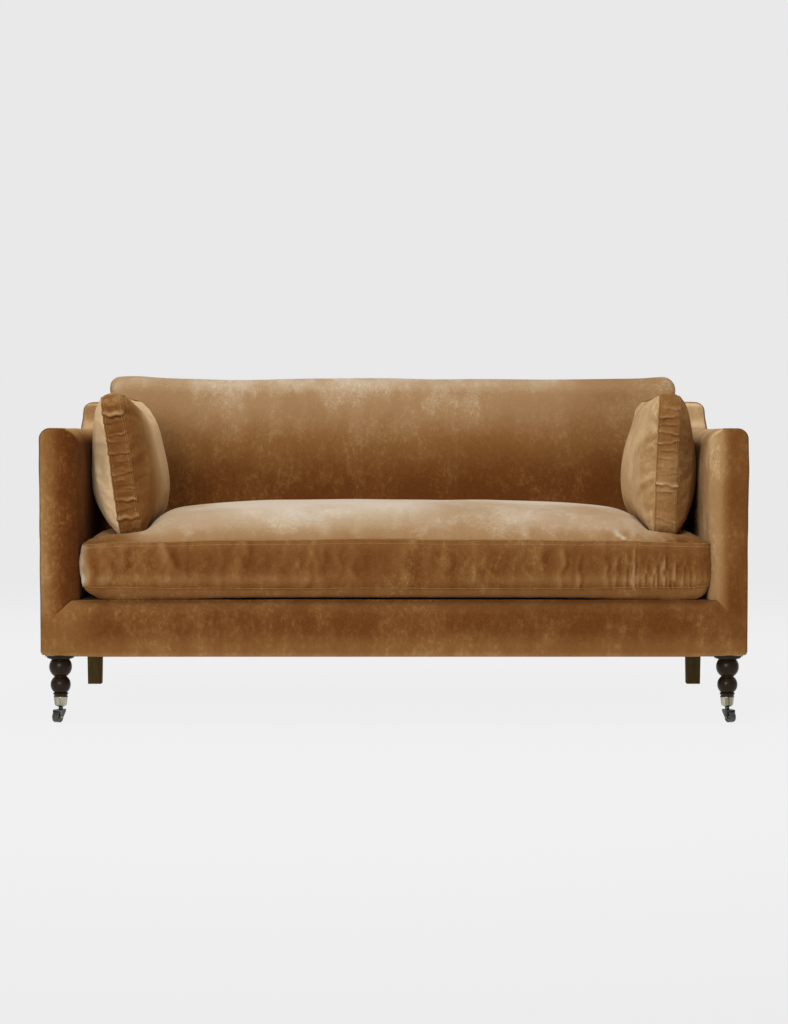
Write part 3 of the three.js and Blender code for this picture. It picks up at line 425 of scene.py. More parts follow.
def tread_material():
    """The castor's tread: dark moulded rubber, dusty and a little scuffed."""
    material, graph, place = new_material("castor_tread")
    dust = graph.noise(place, 210, 4, (1, 1, 1), 0.65)
    scuffs = graph.noise(place, 900, 2)
    colour = graph.mixed(dust.eased(0.35, 0.75), (29, 31, 26), (68, 70, 60))
    normal = bump(graph, scuffs, 0.02 * MM, 0.3)
    return surface(material, graph, colour, 0.16 + dust * 0.2, normal, Specular_IOR_Level=0.6)


def bare_timber():
    """Planed beech for the hidden frame."""
    material, graph, place = new_material("frame_timber")
    grain = graph.noise(place, 40, 4, (0.12, 1, 1), 0.6)
    colour = graph.mixed(grain, (160, 124, 78), (206, 172, 122))
    return surface(material, graph, colour, 0.62 + grain * 0.15, bump(graph, grain, 0.3 * MM, 0.4))


def woven(name, dark, light, thread_size):
    """A plain woven cloth, its threads crossing along X and Y."""
    material, graph, place = new_material(name)
    across, along = [
        graph.node("ShaderNodeSeparateXYZ", None, {0: place}, axis) * (math.pi / thread_size)
        for axis in "XY"
    ]
    weave = across.math("SINE", across) * along.math("SINE", along)
    slub = graph.noise(place, 120, 3)
    colour = graph.mixed((weave * 0.35 + slub * 0.6 + 0.2).clamped(), dark, light)
    return surface(material, graph, colour, 0.92, bump(graph, weave, 0.3 * MM, 0.5))


VELVET = velvet("velvet_cover", 0.22, 0.04, WARM_SHADE_TO_LIGHT)
VELVET_BACK = velvet("velvet_back", 0.15, 0.12)
VELVET_SEAT = velvet("velvet_seat", 0.1, 0.07)
VELVET_SIDE = velvet("velvet_side_cushion", 0.14, 0.1, WARM_SHADE_TO_LIGHT)
VELVET_CORD = velvet("velvet_welt", 0.1, 0.1)
THREAD = thread()
WOOD = dark_wood("dark_stained_wood", ((14, 8, 2), (37, 26, 10), (72, 56, 27)), 0.16, 0.24)
LEG_WOOD = dark_wood("olive_stained_wood", ((44, 34, 14), (70, 57, 29), (98, 80, 46)), 0.05, 0.7)
NICKEL = brushed_metal("satin_nickel", (104, 101, 82), (192, 188, 166), 0.24)
IRON = brushed_metal("aged_iron", (38, 39, 37), (110, 111, 104), 0.32)
STEEL = brushed_metal("spring_steel", (70, 72, 75), (150, 152, 156), 0.3, (1, 1, 1))
TREAD = tread_material()
TIMBER = bare_timber()
LINING = woven("lining_cloth", (18, 17, 16), (42, 40, 38), 1.2 * MM)
HESSIAN = woven("hessian", (92, 76, 52), (158, 138, 102), 2.4 * MM)
DECK = woven("deck_cloth", (46, 26, 12), (78, 48, 26), 1.2 * MM)

# How strongly each direction counts in a blend of painted light and shade by facing: left, right,
# front, rear, top and underside
PULLS = (1, 1, 1, 1, 3, 1)


def blend(facing, shadings_by_facing):
    """The painted light and shade of each direction faced, from values for left, right, front, rear,
    top and underside.
    """
    sides = np.concatenate([np.minimum(facing, 0), np.maximum(facing, 0)], axis=1)
    weights = sides[:, (0, 3, 1, 4, 5, 2)] ** 2 * PULLS
    return weights @ np.array(shadings_by_facing) / np.maximum(weights.sum(axis=1), 1e-9)


def eased(values, low, high):
    """0 at low, 1 at high and a smooth step between."""
    share = np.clip((values - low) / (high - low), 0, 1)
    return share * share * (3 - 2 * share)


def paint_shading(piece, rule):
    """Stores each face corner's painted light and shade, from six values by facing or a rule of
    place, facing and vertex.
    """
    mesh = piece.data
    facing = np.empty(len(mesh.loops) * 3)
    mesh.corner_normals.foreach_get("vector", facing)
    facing = facing.reshape(-1, 3)
    corner = np.empty(len(mesh.loops), dtype=int)
    mesh.loops.foreach_get("vertex_index", corner)
    ruled = callable(rule)
    nap = rule(coordinates(mesh)[corner], facing, corner) if ruled else blend(facing, rule)
    layer = mesh.attributes.new("nap", "FLOAT", "CORNER")
    layer.data.foreach_set("value", nap)


def dress(piece, material, body=ROOT, stands_for=()):
    """Gives a finished piece its material and its body, and hides the nodes that it stands for."""
    piece.data.materials.clear()
    piece.data.materials.append(material)
    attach(piece, body)
    if stands_for:
        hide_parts(*stands_for)
    return piece


def walled(piece):
    """Gives a cover's shell the thickness of its cloth."""
    wall = piece.modifiers.new("wall", "SOLIDIFY")
    wall.thickness = COVER_WALL
    wall.offset = -1


# Sewn lines: a welt cord and a row of stitches, both laid along a path

def new_group(name, sizes):
    """An empty geometry tree with a geometry socket and named sizes."""
    tree = bpy.data.node_groups.new(name, "GeometryNodeTree")
    face = tree.interface
    face.new_socket("Geometry", in_out="INPUT", socket_type="NodeSocketGeometry")
    for size, kind in sizes.items():
        face.new_socket(size, in_out="INPUT", socket_type="NodeSocket" + kind)
    face.new_socket("Geometry", in_out="OUTPUT", socket_type="NodeSocketGeometry")
    graph = Graph(tree)
    source = tree.nodes.new("NodeGroupInput")
    return tree, graph, {s.name: Socket(graph, s) for s in source.outputs if s.name}


def finish_group(graph, geometry, material):
    """Ends a geometry tree: its copies are made real and get their material."""
    real = graph.node("GeometryNodeRealizeInstances", None, {0: geometry})
    painted = graph.node("GeometryNodeSetMaterial", None, {"Geometry": real, "Material": material})
    graph.node("NodeGroupOutput", None, {0: painted})


def swept(graph, given, section, **along):
    """A round section swept along the lines of a mesh."""
    path = graph.node("GeometryNodeMeshToCurve", None, {0: given["Geometry"]})
    section = graph.node(
        "GeometryNodeCurvePrimitiveCircle", None, {"Resolution": given["Sides"], **section})
    inputs = {"Curve": path, "Profile Curve": section, "Fill Caps": True, **along}
    return graph.node("GeometryNodeCurveToMesh", None, inputs)


def welt_tree():
    """A round cord swept along a path."""
    tree, graph, given = new_group("welt_cord", {
        "Radius": "Float", "Sides": "Int", "Material": "Material",
    })
    finish_group(graph, swept(graph, given, {"Radius": given["Radius"]}), given["Material"])
    return tree


def stitch_tree():
    """Stitches laid end to end along a path, each a little different from the next."""
    tree, graph, given = new_group("stitches", {
        "Spacing": "Float", "Length": "Float", "Radius": "Float", "Seed": "Int",
        "Material": "Material",
    })
    path = graph.node("GeometryNodeMeshToCurve", None, {0: given["Geometry"]})
    places = graph.node("GeometryNodeResampleCurve", {"mode": "LENGTH"}, {
        "Curve": path, "Length": given["Spacing"],
    })
    along = graph.node("GeometryNodeInputTangent")
    turned = graph.node("FunctionNodeAlignRotationToVector", {"axis": "Z"}, {"Vector": along})
    shape = graph.node("GeometryNodeMeshUVSphere", None, {
        "Segments": 6, "Rings": 5, "Radius": given["Radius"],
    })
    stretch = graph.node("ShaderNodeCombineXYZ", None, {
        0: 1.0, 1: 1.0, 2: given["Length"] / given["Radius"] * 0.5,
    })
    stitch = graph.node("GeometryNodeTransform", None, {"Geometry": shape, "Scale": stretch})
    varied = graph.node("FunctionNodeRandomValue", {"data_type": "FLOAT"}, {
        2: 0.8, 3: 1.15, "Seed": given["Seed"],
    }, 1)
    copies = graph.node("GeometryNodeInstanceOnPoints", None, {
        "Points": places, "Instance": stitch, "Rotation": turned, "Scale": varied,
    })
    finish_group(graph, copies, given["Material"])
    return tree


WELT_TREE = welt_tree()
STITCH_TREE = stitch_tree()


def path_mesh(name, paths):
    """One mesh of open or closed lines. Each path is (points, closed)."""
    points, edges = [], []
    for line, closed in paths:
        start = len(points)
        points.extend(map(tuple, line))
        edges.extend((start + i, start + i + 1) for i in range(len(line) - 1))
        if closed:
            edges.append((start + len(line) - 1, start))
    mesh = bpy.data.meshes.new(name)
    mesh.from_pydata(points, edges, [])
    return link(name, mesh)


def grown(piece, tree, values):
    """Runs a geometry tree on a piece and keeps the result as its plain mesh."""
    step = piece.modifiers.new(tree.name, "NODES")
    step.node_group = tree
    identifiers = {s.name: s.identifier for s in tree.interface.items_tree if s.in_out == "INPUT"}
    for name, value in values.items():
        step[identifiers[name]] = value
    baked(piece)
    smoothed(piece.data)
    return piece


def welt(name, paths, radius, body=ROOT, nap=0.25):
    """A welt cord along paths, on one body."""
    sizes = {"Radius": radius, "Sides": 8, "Material": VELVET_CORD}
    piece = grown(path_mesh(name, paths), WELT_TREE, sizes)
    # The cord's colour is painted light and shade: paler where it faces up
    paint_shading(piece, (nap, nap, nap, nap, nap + 0.2, nap))
    dress(piece, VELVET_CORD, body)


def stitching(name, paths, spacing, body):
    """A row of stitches along paths, on one body."""
    sizes = {
        "Spacing": spacing, "Length": spacing * 0.62, "Radius": 0.55 * MM, "Seed": 3,
        "Material": THREAD,
    }
    dress(grown(path_mesh(name, paths), STITCH_TREE, sizes), THREAD, body)


# Covers of the body

def rear_at(z):
    """Depth of the sofa's rear plane at a height."""
    return cad_high.y - (back_top - 12 * MM - z) * REAR_LEAN


def crest_at(y):
    """Height of the arm's crest at a depth."""
    return ARM_CREST_FRONT - (y - front) * (ARM_CREST_FRONT - ARM_CREST_REAR) / (EAR_FRONT - front)


def mitre_at(x):
    """Height of the mitre between the arm's front and the border, at a distance from the middle."""
    fall = (np.abs(x) - MITRE_INNER) * MITRE_DROP / (half_width - MITRE_INNER)
    return lip_top - np.maximum(fall, 0)


def roll_share(distance):
    """How far a quarter round has fallen back, from 0 where it starts to 1 at its end."""
    return 1 - np.sqrt(1 - np.clip(distance, 0, 1) ** 2)


def front_depth(x, z):
    """How far the cover's front face lies behind the foremost plane."""
    x = np.abs(x)
    arm_roll = FRONT_ROLL * roll_share((arm_face + FRONT_ROLL_WIDTH - x) / FRONT_ROLL_WIDTH)
    lip_roll = LIP_ROLL * roll_share((z - lip_top + LIP_ROLL) / LIP_ROLL)
    from_mitre = (z - mitre_at(x)) / math.hypot(1, MITRE_DROP / (half_width - MITRE_INNER))
    fade = np.exp(-np.abs(from_mitre) / (9 * MM))
    above = from_mitre > 0
    depth = np.where(
        above, np.maximum(arm_roll, lip_roll * fade), np.maximum(lip_roll, arm_roll * fade))
    along = np.clip((x - MITRE_INNER + 10 * MM) / (52 * MM), 0, 1)
    crease = bell(from_mitre, 0, 2.6 * MM) * (1 - along) ** 1.2
    corner = SEAM_ROLL * roll_share((x - half_width + SEAM_ROLL) / SEAM_ROLL)
    return depth + 3.2 * MM * crease + corner


def rounded_path(corners, steps, arc_steps=8):
    """An open outline through corners (u, v, radius), with a number of steps on each straight."""
    stretches = []
    for i, (u, v, radius) in enumerate(corners):
        corner = np.array((u, v))
        if radius <= 0:
            stretches.append([corner])
            continue
        before = np.array(corners[i - 1][:2]) - corner
        after = np.array(corners[i + 1][:2]) - corner
        before /= np.linalg.norm(before)
        after /= np.linalg.norm(after)
        half = math.acos(np.clip(before @ after, -1, 1)) / 2
        centre = corner + (before + after) / np.linalg.norm(before + after) * radius / math.sin(half)
        start = corner + before * radius / math.tan(half) - centre
        end = corner + after * radius / math.tan(half) - centre
        sweep = math.atan2(start[0] * end[1] - start[1] * end[0], start @ end)
        turns = [sweep * k / arc_steps for k in range(arc_steps + 1)]
        stretches.append([centre + (
            start[0] * math.cos(a) - start[1] * math.sin(a),
            start[0] * math.sin(a) + start[1] * math.cos(a),
        ) for a in turns])
    points = []
    for here, after, count in zip(stretches, stretches[1:], steps):
        points.extend(here)
        points.extend(here[-1] + (after[0] - here[-1]) * k / count for k in range(1, count))
    points.extend(stretches[-1])
    return np.array(points)


def drawn_in(outline, share, spine):
    """An outline drawn towards a spine, given as its two ends, by a share of the way."""
    low, high = np.array(spine[0]), np.array(spine[1])
    run = high - low
    along = np.clip((outline - low) @ run / (run @ run), 0, 1)[:, None]
    return outline + (low + run * along - outline) * share


FRONT_STEPS = 54
ARM_STEPS = (FRONT_STEPS, 84, 4, 11, 44)
ARC_STEPS = 8
ROLL_STEPS = 7
BORDER_STEPS = 150
ARM_SPINE = ((front + 200 * MM, 500 * MM), (EAR_FRONT + 6 * MM, 500 * MM))
COVER_WALL = 4 * MM
ARM_PUFF = 7 * MM


def arm_outline(top_inset, face_inset, rear_inset, foot):
    """Side outline (y, z) of the arm: front foot, crest, sweep, ear, rear foot."""
    wall = EAR_FRONT + face_inset
    crest = ear_top - top_inset
    start = front + face_inset
    return rounded_path([
        (start, foot, 0),
        (start, crest_at(start) - top_inset, SEAM_ROLL),
        (wall, crest_at(wall) - top_inset, SWEEP + top_inset),
        (wall, crest, max(EAR_ROUND - top_inset, 4 * MM)),
        (rear_at(crest) - rear_inset, crest, 8 * MM),
        (rear_at(foot) - rear_inset, foot, 0),
    ], ARM_STEPS, ARC_STEPS)


def ear_slope(place):
    """How far the outside of the ear leans in above the arm's crest."""
    over_crest = np.clip((place[:, 2] - crest_at(place[:, 1])) / (ear_top - ARM_CREST_REAR), 0, 1)
    at_outside = np.clip((place[:, 0] - arm_face) / (half_width - arm_face), 0, 1)
    return EAR_SLOPE * np.sqrt(over_crest) * at_outside * (place[:, 1] > EAR_FRONT - SWEEP)


def arm_stations():
    """Stations across the arm: distance from the middle, inset of the top, roll angle and side."""
    def roll(edge, size, heading, angle):
        distance = edge - heading * size * (1 - math.cos(angle))
        return distance, size * (1 - math.sin(angle)), angle, heading

    inner = [roll(arm_face, INNER_ROLL, -1, angle) for angle in quarter(16)]
    flat = [(x, 0, math.pi / 2, 0)
            for x in between(arm_face + INNER_ROLL, half_width - OUTER_ROLL, 8)]
    outer = [roll(half_width, OUTER_ROLL, 1, math.pi / 2 * (1 - k / 12)) for k in range(13)]
    return inner + flat + outer


def arm_painted_shading(side):
    """Painted light and shade of an arm: its front is painted paler towards the light, as are its
    crest, sweep and ear, and faces turned up or to the left are painted paler.
    """
    def rule(place, facing, corner):
        out = np.abs(place[:, 0])
        up = place[:, 2]
        # Faces turned to the left are painted paler than those turned to the right, as the light
        # falls from the left
        if side < 0:
            nap = blend(facing, (0.45, 0.2, 0.42, 0.3, 0.78, 0.3))
            tone = 0.16 + 0.46 * np.clip((out - 786 * MM) / (72 * MM), 0, 1) ** 1.5
        else:
            nap = blend(facing, (0.78, 0.36, 0.42, 0.3, 0.84, 0.3))
            tone = 0.31 + 0.36 * eased(out, 822 * MM, 788 * MM)
            tone += 0.05 * eased(up, lip_top, lip_top + 150 * MM)
            deep = eased(place[:, 1], front + 165 * MM, front + 225 * MM)
            inner = np.clip(-facing[:, 0], 0, 1) ** 2
            low = eased(up, ARM_CREST_REAR - 22 * MM, ARM_CREST_REAR - 45 * MM)
            # Painted shade deep in the gap between the right arm's inner face and the cushion
            nap -= 0.66 * deep * inner * low
        ahead = np.clip(-facing[:, 1], 0, 1) ** 2
        near = eased(place[:, 1], front + 110 * MM, front + 60 * MM)
        nap += ahead * near * (tone - 0.42) * eased(up, lip_top - 70 * MM, lip_top - 15 * MM)
        rear = eased(place[:, 1], EAR_FRONT - 60 * MM, EAR_FRONT - 15 * MM)
        high = eased(up, crest_at(place[:, 1]) - 14 * MM, crest_at(place[:, 1]) + 4 * MM)
        # Painted light on the front of the sweep and ear, stronger on the right arm
        return nap + (0.22 if side < 0 else 0.44) * ahead * rear * high
    return rule


def arm_cover(side):
    """The arm's cover: flat front, wide inner roll, seamed front arch, sweep and ear."""
    rings = Rings()
    seams = {"arch": [], "ear": []}

    def ring_at(x, top_inset, angle, outward, sunk=0.0):
        roll = FRONT_ROLL * roll_share((arm_face + FRONT_ROLL_WIDTH - x) / FRONT_ROLL_WIDTH)
        roll += SEAM_ROLL * roll_share((x - half_width + SEAM_ROLL) / SEAM_ROLL)
        outline = arm_outline(top_inset, roll, 4 * MM + top_inset / 3, float(mitre_at(x)))
        if sunk:
            outline = drawn_in(outline, sunk, ARM_SPINE)
        ring = np.array([(x, y, z) for y, z in [*outline, *between(outline[-1], outline[0], 40)]])
        if not sunk:
            ring[:FRONT_STEPS, 1] = front + front_depth(x, ring[:FRONT_STEPS, 2])
        lump = 1.6 * MM * soft_noise(ring, 150 * MM, 5 + side)
        lump += 0.6 * MM * soft_noise(ring, 48 * MM, 9)
        lump *= np.clip((ring[:, 2] - lip_top) / (60 * MM), 0, 1)
        ring[:, 0] += lump * math.cos(angle) * outward
        top = slice(FRONT_STEPS + ARC_STEPS, sum(ARM_STEPS[:4]) + 3 * ARC_STEPS)
        ring[top, 2] += lump[top] * math.sin(angle)
        ring[:, 0] -= ear_slope(ring)
        return ring

    for sunk in (0.9, 0.72, 0.52, 0.34, 0.2, 0.1, 0.04):
        ring = ring_at(arm_face, INNER_ROLL, 0, -1, sunk)
        ring[:, 0] -= ARM_PUFF * (1 - (1 - sunk) ** 2.5)
        rings.add(ring)
    for station in arm_stations():
        ring = ring_at(*station)
        rings.add(ring)
        if station[0] >= arm_face + 26 * MM:
            seams["arch"].append(ring[FRONT_STEPS + ARC_STEPS // 2])
        seams["ear"].append(ring[sum(ARM_STEPS[:3]) + 3 * ARC_STEPS - 3])
    below = [(half_width, front + float(front_depth(half_width, z)), z)
             for z in np.linspace(body_foot + FOOT_CORNER + FOOT_RISE, ring[0][2], 14)[:-1]]
    seams["edge"] = below + list(ring[:sum(ARM_STEPS) + 4 * ARC_STEPS - 6])
    piece = rings.piece(f"arm_cover_{WORDS[side]}", (side, 1, 1), 50)
    walled(piece)
    paint_shading(piece, arm_painted_shading(side))
    dress(piece, VELVET, stands_for=(f"arm_pad_{WORDS[side]}",))
    return {name: np.array(path) * (side, 1, 1) for name, path in seams.items()}


def rail_painted_shading(place, facing, corner):
    """Painted light on the rail: paler along its foot and just under its lip, towards its ends, and
    where it faces up.
    """
    rise = place[:, 2] - body_foot
    foot = 0.15 * eased(rise, 70 * MM, 18 * MM) + 0.1 * eased(rise, 16 * MM, 4 * MM)
    left_end = 0.16 * eased(place[:, 0], -690 * MM, -800 * MM)
    right_end = 0.05 * eased(place[:, 0], 760 * MM, 810 * MM)
    return blend(facing, (0.4, 0.36, 0.31, 0.3, 0.44, 0.4)) + np.maximum(foot, left_end + right_end)


def border_cover():
    """The front border: rounded foot, flat face, and a roll over the rail, mitred at its ends."""
    across = {round(x, 6) for x, *_ in arm_stations() if x >= MITRE_INNER}
    across |= {MITRE_INNER, half_width - SEAM_ROLL / 3, half_width - SEAM_ROLL * 2 / 3}
    middle = [(-1 + 2 * k / BORDER_STEPS) * MITRE_INNER for k in range(1, BORDER_STEPS)]
    inside = front + 13 * MM
    rings = Rings()
    for x in sorted([*(-x for x in across), *middle, *across]):
        top = float(mitre_at(x))
        foot = body_foot + FOOT_CORNER * float(roll_share((abs(x) - half_width) / FOOT_CORNER + 1))
        foot += FOOT_RISE * float(eased(abs(x), 720 * MM, 850 * MM))
        section = [(inside, foot)]
        depth = float(front_depth(x, foot + FOOT_ROLL))
        section += [(
            front + depth + FOOT_ROLL * (1 - math.sin(angle)),
            foot + FOOT_ROLL * (1 - math.cos(angle)),
        ) for angle in quarter(ROLL_STEPS)]
        end = top - LIP_ROLL
        heights = between(foot + FOOT_ROLL, end, 22)
        heights += [end + LIP_ROLL * math.sin(angle) for angle in quarter(ROLL_STEPS)]
        section += [(front + float(front_depth(x, z)), z) for z in heights]
        last_y = section[-1][0]
        rear = inside if abs(x) > MITRE_INNER else lip_rear
        section += [(y, top) for y in between(last_y, rear, 3)]
        section += [(rear, top), (rear, top - 12 * MM), (inside, top - 16 * MM)]
        rings.add([(x, y, z) for y, z in section])
    rings.points = place = np.array(rings.points)
    on_lip = place[:, 2] > lip_top - 6 * MM
    place[on_lip, 2] += 0.8 * MM * soft_noise(place[on_lip], 90 * MM, 21)
    piece = rings.piece("front_border_cover", sharp=50)
    paint_shading(piece, rail_painted_shading)
    dress(piece, VELVET, stands_for=("front_border",))


# Rings of a tight panel, edge first: how far each is drawn in, and its rise in millimetres
PANEL_LEVELS = ((0.0, -5), (0.0, -1), (0.004, 0.2), (0.012, 1), (0.05, 1.6), (0.16, 2.2),
                (0.36, 2.6), (0.6, 2.8), (0.85, 2.8))


def panel_rings(outline, spine, laid, axis, lump):
    """Rings of a tight panel: laid places a ring, lump is (height, size, seed) along an axis."""
    rings = Rings()
    height, size, seed = lump
    for share, rise in PANEL_LEVELS:
        place = np.array(laid(drawn_in(outline, share, spine), rise * MM))
        place[:, axis] += np.clip(rise, 0, 1) * height * soft_noise(place, size, seed)
        rings.add(place)
    return rings


def side_panel(side):
    """The outside of the arm: a tight panel inside the seam round the arm."""
    outline = arm_outline(OUTER_ROLL + 2.5 * MM, SEAM_ROLL + 3 * MM, 7 * MM, body_foot)
    outline = np.vstack([outline, between(outline[-1], outline[0], 60)])
    spine = ((front + 220 * MM, 450 * MM), (EAR_FRONT + 20 * MM, 500 * MM))

    def laid(ring, rise):
        return [(half_width + rise, y, z) for y, z in ring]

    rings = panel_rings(outline, spine, laid, 0, (0.9 * MM, 160 * MM, 40 + side))
    rings.points = place = np.array(rings.points)
    place[:, 0] -= ear_slope(place)
    place[:, 0] -= 4 * MM * roll_share((body_foot + FOOT_CORNER - place[:, 2]) / FOOT_CORNER)
    at_corner = eased(place[:, 1], front + 160 * MM, front + 20 * MM)
    place[:, 2] += FOOT_RISE * at_corner * eased(place[:, 2], body_foot + 60 * MM, body_foot)
    piece = rings.piece(f"outside_arm_cover_{WORDS[side]}", (side, 1, 1))
    # Painted light and shade by facing: paler on faces turned up, darker underneath
    paint_shading(piece, (0.4, 0.36, 0.34, 0.34, 0.5, 0.3))
    dress(piece, VELVET, stands_for=(f"outside_arm_panel_{WORDS[side]}",))


def back_painted_shading(place, facing, corner):
    """The back is painted paler towards its top, as light from above falls there, less so towards its
    right end and on faces turned to the rear.
    """
    rise = 0.48 * eased(place[:, 2], 540 * MM, 830 * MM) * (1 - 0.9 * np.clip(facing[:, 1], 0, 1))
    rise *= 1 - 0.25 * eased(place[:, 0], 400 * MM, 620 * MM)
    return blend(facing, (0.16, 0.26, 0.27, 0.35, 0.38, 0.3)) + rise


def back_face_at(x, z):
    """Depth of the tight back's front face: leaning, crowned and falling back towards its top."""
    across = np.abs(x) / back_half
    up = np.clip((z - lip_top) / (back_top - lip_top), 0, 1)
    crown = 9 * MM * (1 - across ** 4) * np.sin(np.pi * np.clip(up, 0.02, 0.98)) ** 0.6
    fall = 16 * MM * np.clip(up - 0.55, 0, 1) ** 2 / 0.2
    return BACK_FRONT_AT_TOP - (back_top - z) * BACK_LEAN - crown + fall


def rectangle_sides(low_u, high_u, low_v, high_v, radii, count_u, count_v):
    """Perimeter of a rectangle with four corner radii, a corner's middle at each side's ends."""
    corners = np.array([(low_u, low_v), (high_u, low_v), (high_u, high_v), (low_u, high_v)])
    inward = np.array([(1, 1), (-1, 1), (-1, -1), (1, -1)])
    middles = corners + inward * np.array(radii)[:, None]
    heading = np.array([(1.0, 0.0), (0.0, 1.0), (-1.0, 0.0), (0.0, -1.0)])
    points = []
    for i, count in enumerate((count_u, count_v) * 2):
        k = (i + 1) % 4
        along, out = heading[i], heading[i - 1]
        first, last = middles[i], middles[k]
        arc_first = radii[i] * math.pi / 4
        arc_last = radii[k] * math.pi / 4
        straight = (last - first) @ along
        total = arc_first + straight + arc_last
        for step in range(count):
            t = total * step / count
            if t < arc_first:
                angle = (arc_first - t) / radii[i]
                points.append(first + radii[i] * (out * math.cos(angle) - along * math.sin(angle)))
            elif t <= arc_first + straight:
                points.append(first + out * radii[i] + along * (t - arc_first))
            else:
                angle = (t - arc_first - straight) / radii[k]
                points.append(last + radii[k] * (out * math.cos(angle) + along * math.sin(angle)))
    return np.array(points)


def filled(edge, count_u, count_v):
    """A grid of points inside a closed edge that starts at its low corner."""
    bottom = edge[:count_u + 1]
    right = edge[count_u:count_u + count_v + 1]
    top = edge[count_u + count_v:2 * count_u + count_v + 1][::-1]
    left = np.vstack([edge[2 * count_u + count_v:], edge[:1]])[::-1]
    u = np.linspace(0, 1, count_u + 1)[None, :, None]
    v = np.linspace(0, 1, count_v + 1)[:, None, None]
    grid = (1 - v) * bottom[None] + v * top[None] + (1 - u) * left[:, None] + u * right[:, None]
    grid -= (1 - u) * (1 - v) * bottom[0] + u * (1 - v) * bottom[-1]
    grid -= (1 - u) * v * top[0] + u * v * top[-1]
    return grid


def edge_numbers(numbers):
    """Vertex numbers round a grid's edge, in the order of rectangle_sides."""
    return [*numbers[0, :-1], *numbers[:-1, -1], *numbers[-1, :0:-1], *numbers[:0:-1, 0]]


# Swells and dips along the back's top: middle and width in metres, rise in millimetres
TOP_WAVES = ((-0.72, 0.07, 6.5), (-0.42, 0.12, -4.5), (-0.04, 0.10, 0.8), (0.12, 0.10, -2.2),
             (0.42, 0.18, -3.0), (0.75, 0.05, 4.5))


def back_cover():
    """The tight back: a crowned face that rolls over the top and sides to the rear."""
    count_u, count_v = 150, 54
    roll, side_roll, rear_roll = 40 * MM, 20 * MM, 12 * MM
    left_round, right_round, foot_round = 24 * MM, 34 * MM, 2 * MM

    def outline(top_inset, side_inset):
        half = back_half - side_inset
        keep = max(1 - top_inset / (70 * MM), 0.4)
        radii = (foot_round, foot_round, right_round * keep, left_round * keep)
        edge = rectangle_sides(-half, half, lip_top, back_top - top_inset, radii, count_u, count_v)
        over_ear = np.clip((edge[:, 1] - ear_top - 2 * MM) / (22 * MM), 0, 1)
        swell = np.where(edge[:, 0] < 0, 13 * MM, 6 * MM) * over_ear * (3 - 2 * over_ear) * over_ear
        edge[:, 0] *= 1 + swell / half
        return edge

    rings = Rings()

    def add(ring, depths):
        rings.add(np.stack([ring[:, 0], depths, ring[:, 1]], axis=1))

    flat = filled(outline(roll, side_roll), count_u, count_v).reshape(-1, 2)
    add(flat, back_face_at(flat[:, 0], flat[:, 1]))
    numbers = np.arange(len(flat)).reshape(count_v + 1, count_u + 1)
    rings.rows = [edge_numbers(numbers)]
    for angle in quarter(12)[1:]:
        share = 1 - math.sin(angle)
        ring = outline(roll * share, side_roll * share)
        add(ring, back_face_at(ring[:, 0], ring[:, 1]) + roll * (1 - math.cos(angle)))
    ahead = back_face_at(ring[:, 0], ring[:, 1]) + roll
    for depths in between(ahead, rear_at(ring[:, 1]) - rear_roll, 8):
        add(ring, depths)
    for angle in quarter(5):
        drawn = outline(*[rear_roll * (1 - math.cos(angle))] * 2)
        add(drawn, rear_at(drawn[:, 1]) - rear_roll * (1 - math.sin(angle)))
    faces = rows_to_faces([list(row) for row in numbers])
    faces += rows_to_faces(rings.rows, closed_across=True) + [rings.rows[-1]]
    place = np.array(rings.points)
    up = np.clip((place[:, 2] - 500 * MM) / (300 * MM), 0, 1)
    loose = eased(rear_at(place[:, 2]) - place[:, 1], 8 * MM, 60 * MM)
    place[:, 1] -= 2.4 * MM * loose * soft_noise(place, (200 * MM, 200 * MM, 150 * MM), 3)
    place[:, 1] -= 0.9 * MM * loose * soft_noise(place, (60 * MM, 60 * MM, 90 * MM), 4)
    place[:, 2] += up ** 2 * sum(
        rise * MM * bell(place[:, 0], middle, wide) for middle, wide, rise in TOP_WAVES)
    piece = mesh_piece("back_cover", place, faces, sharp=60)
    walled(piece)
    paint_shading(piece, back_painted_shading)
    dress(piece, VELVET_BACK, stands_for=("inside_back",))


def outside_back():
    """The outside back: one tight panel with a raised middle, and a welt round its edge."""
    shoulder_half = half_width - 9 * MM
    shoulder = ear_top - OUTER_ROLL - 1 * MM
    middle_half = back_half - 13 * MM
    middle_top = back_top - 14 * MM
    corner = 10 * MM
    right = rounded_path([
        (0, body_foot, 0), (shoulder_half, body_foot, 4 * MM), (shoulder_half, shoulder, corner),
        (middle_half, shoulder, corner), (middle_half, middle_top, 2 * corner), (0, middle_top, 0),
    ], (60, 50, 7, 6, 60), 6)
    outline = np.vstack([right, right[-2:0:-1] * (-1, 1)])
    spine = ((-300 * MM, 480 * MM), (300 * MM, 480 * MM))

    def laid(ring, rise):
        return [(x, rear_at(z) + rise * 0.7, z) for x, z in ring]

    rings = panel_rings(outline, spine, laid, 1, (0.7 * MM, 170 * MM, 50))
    piece = rings.piece("outside_back_cover")
    # Painted light and shade by facing: paler on faces turned up, darker underneath
    paint_shading(piece, (0.4, 0.36, 0.34, 0.36, 0.5, 0.3))
    dress(piece, VELVET, stands_for=("outside_back_panel",))
    edge = np.array([(x, rear_at(z) - 0.5 * MM, z) for x, z in drawn_in(outline, -0.002, spine)])
    welt("outside_back_welt", [(edge, True)], 1.6 * MM)


# Loose cushions

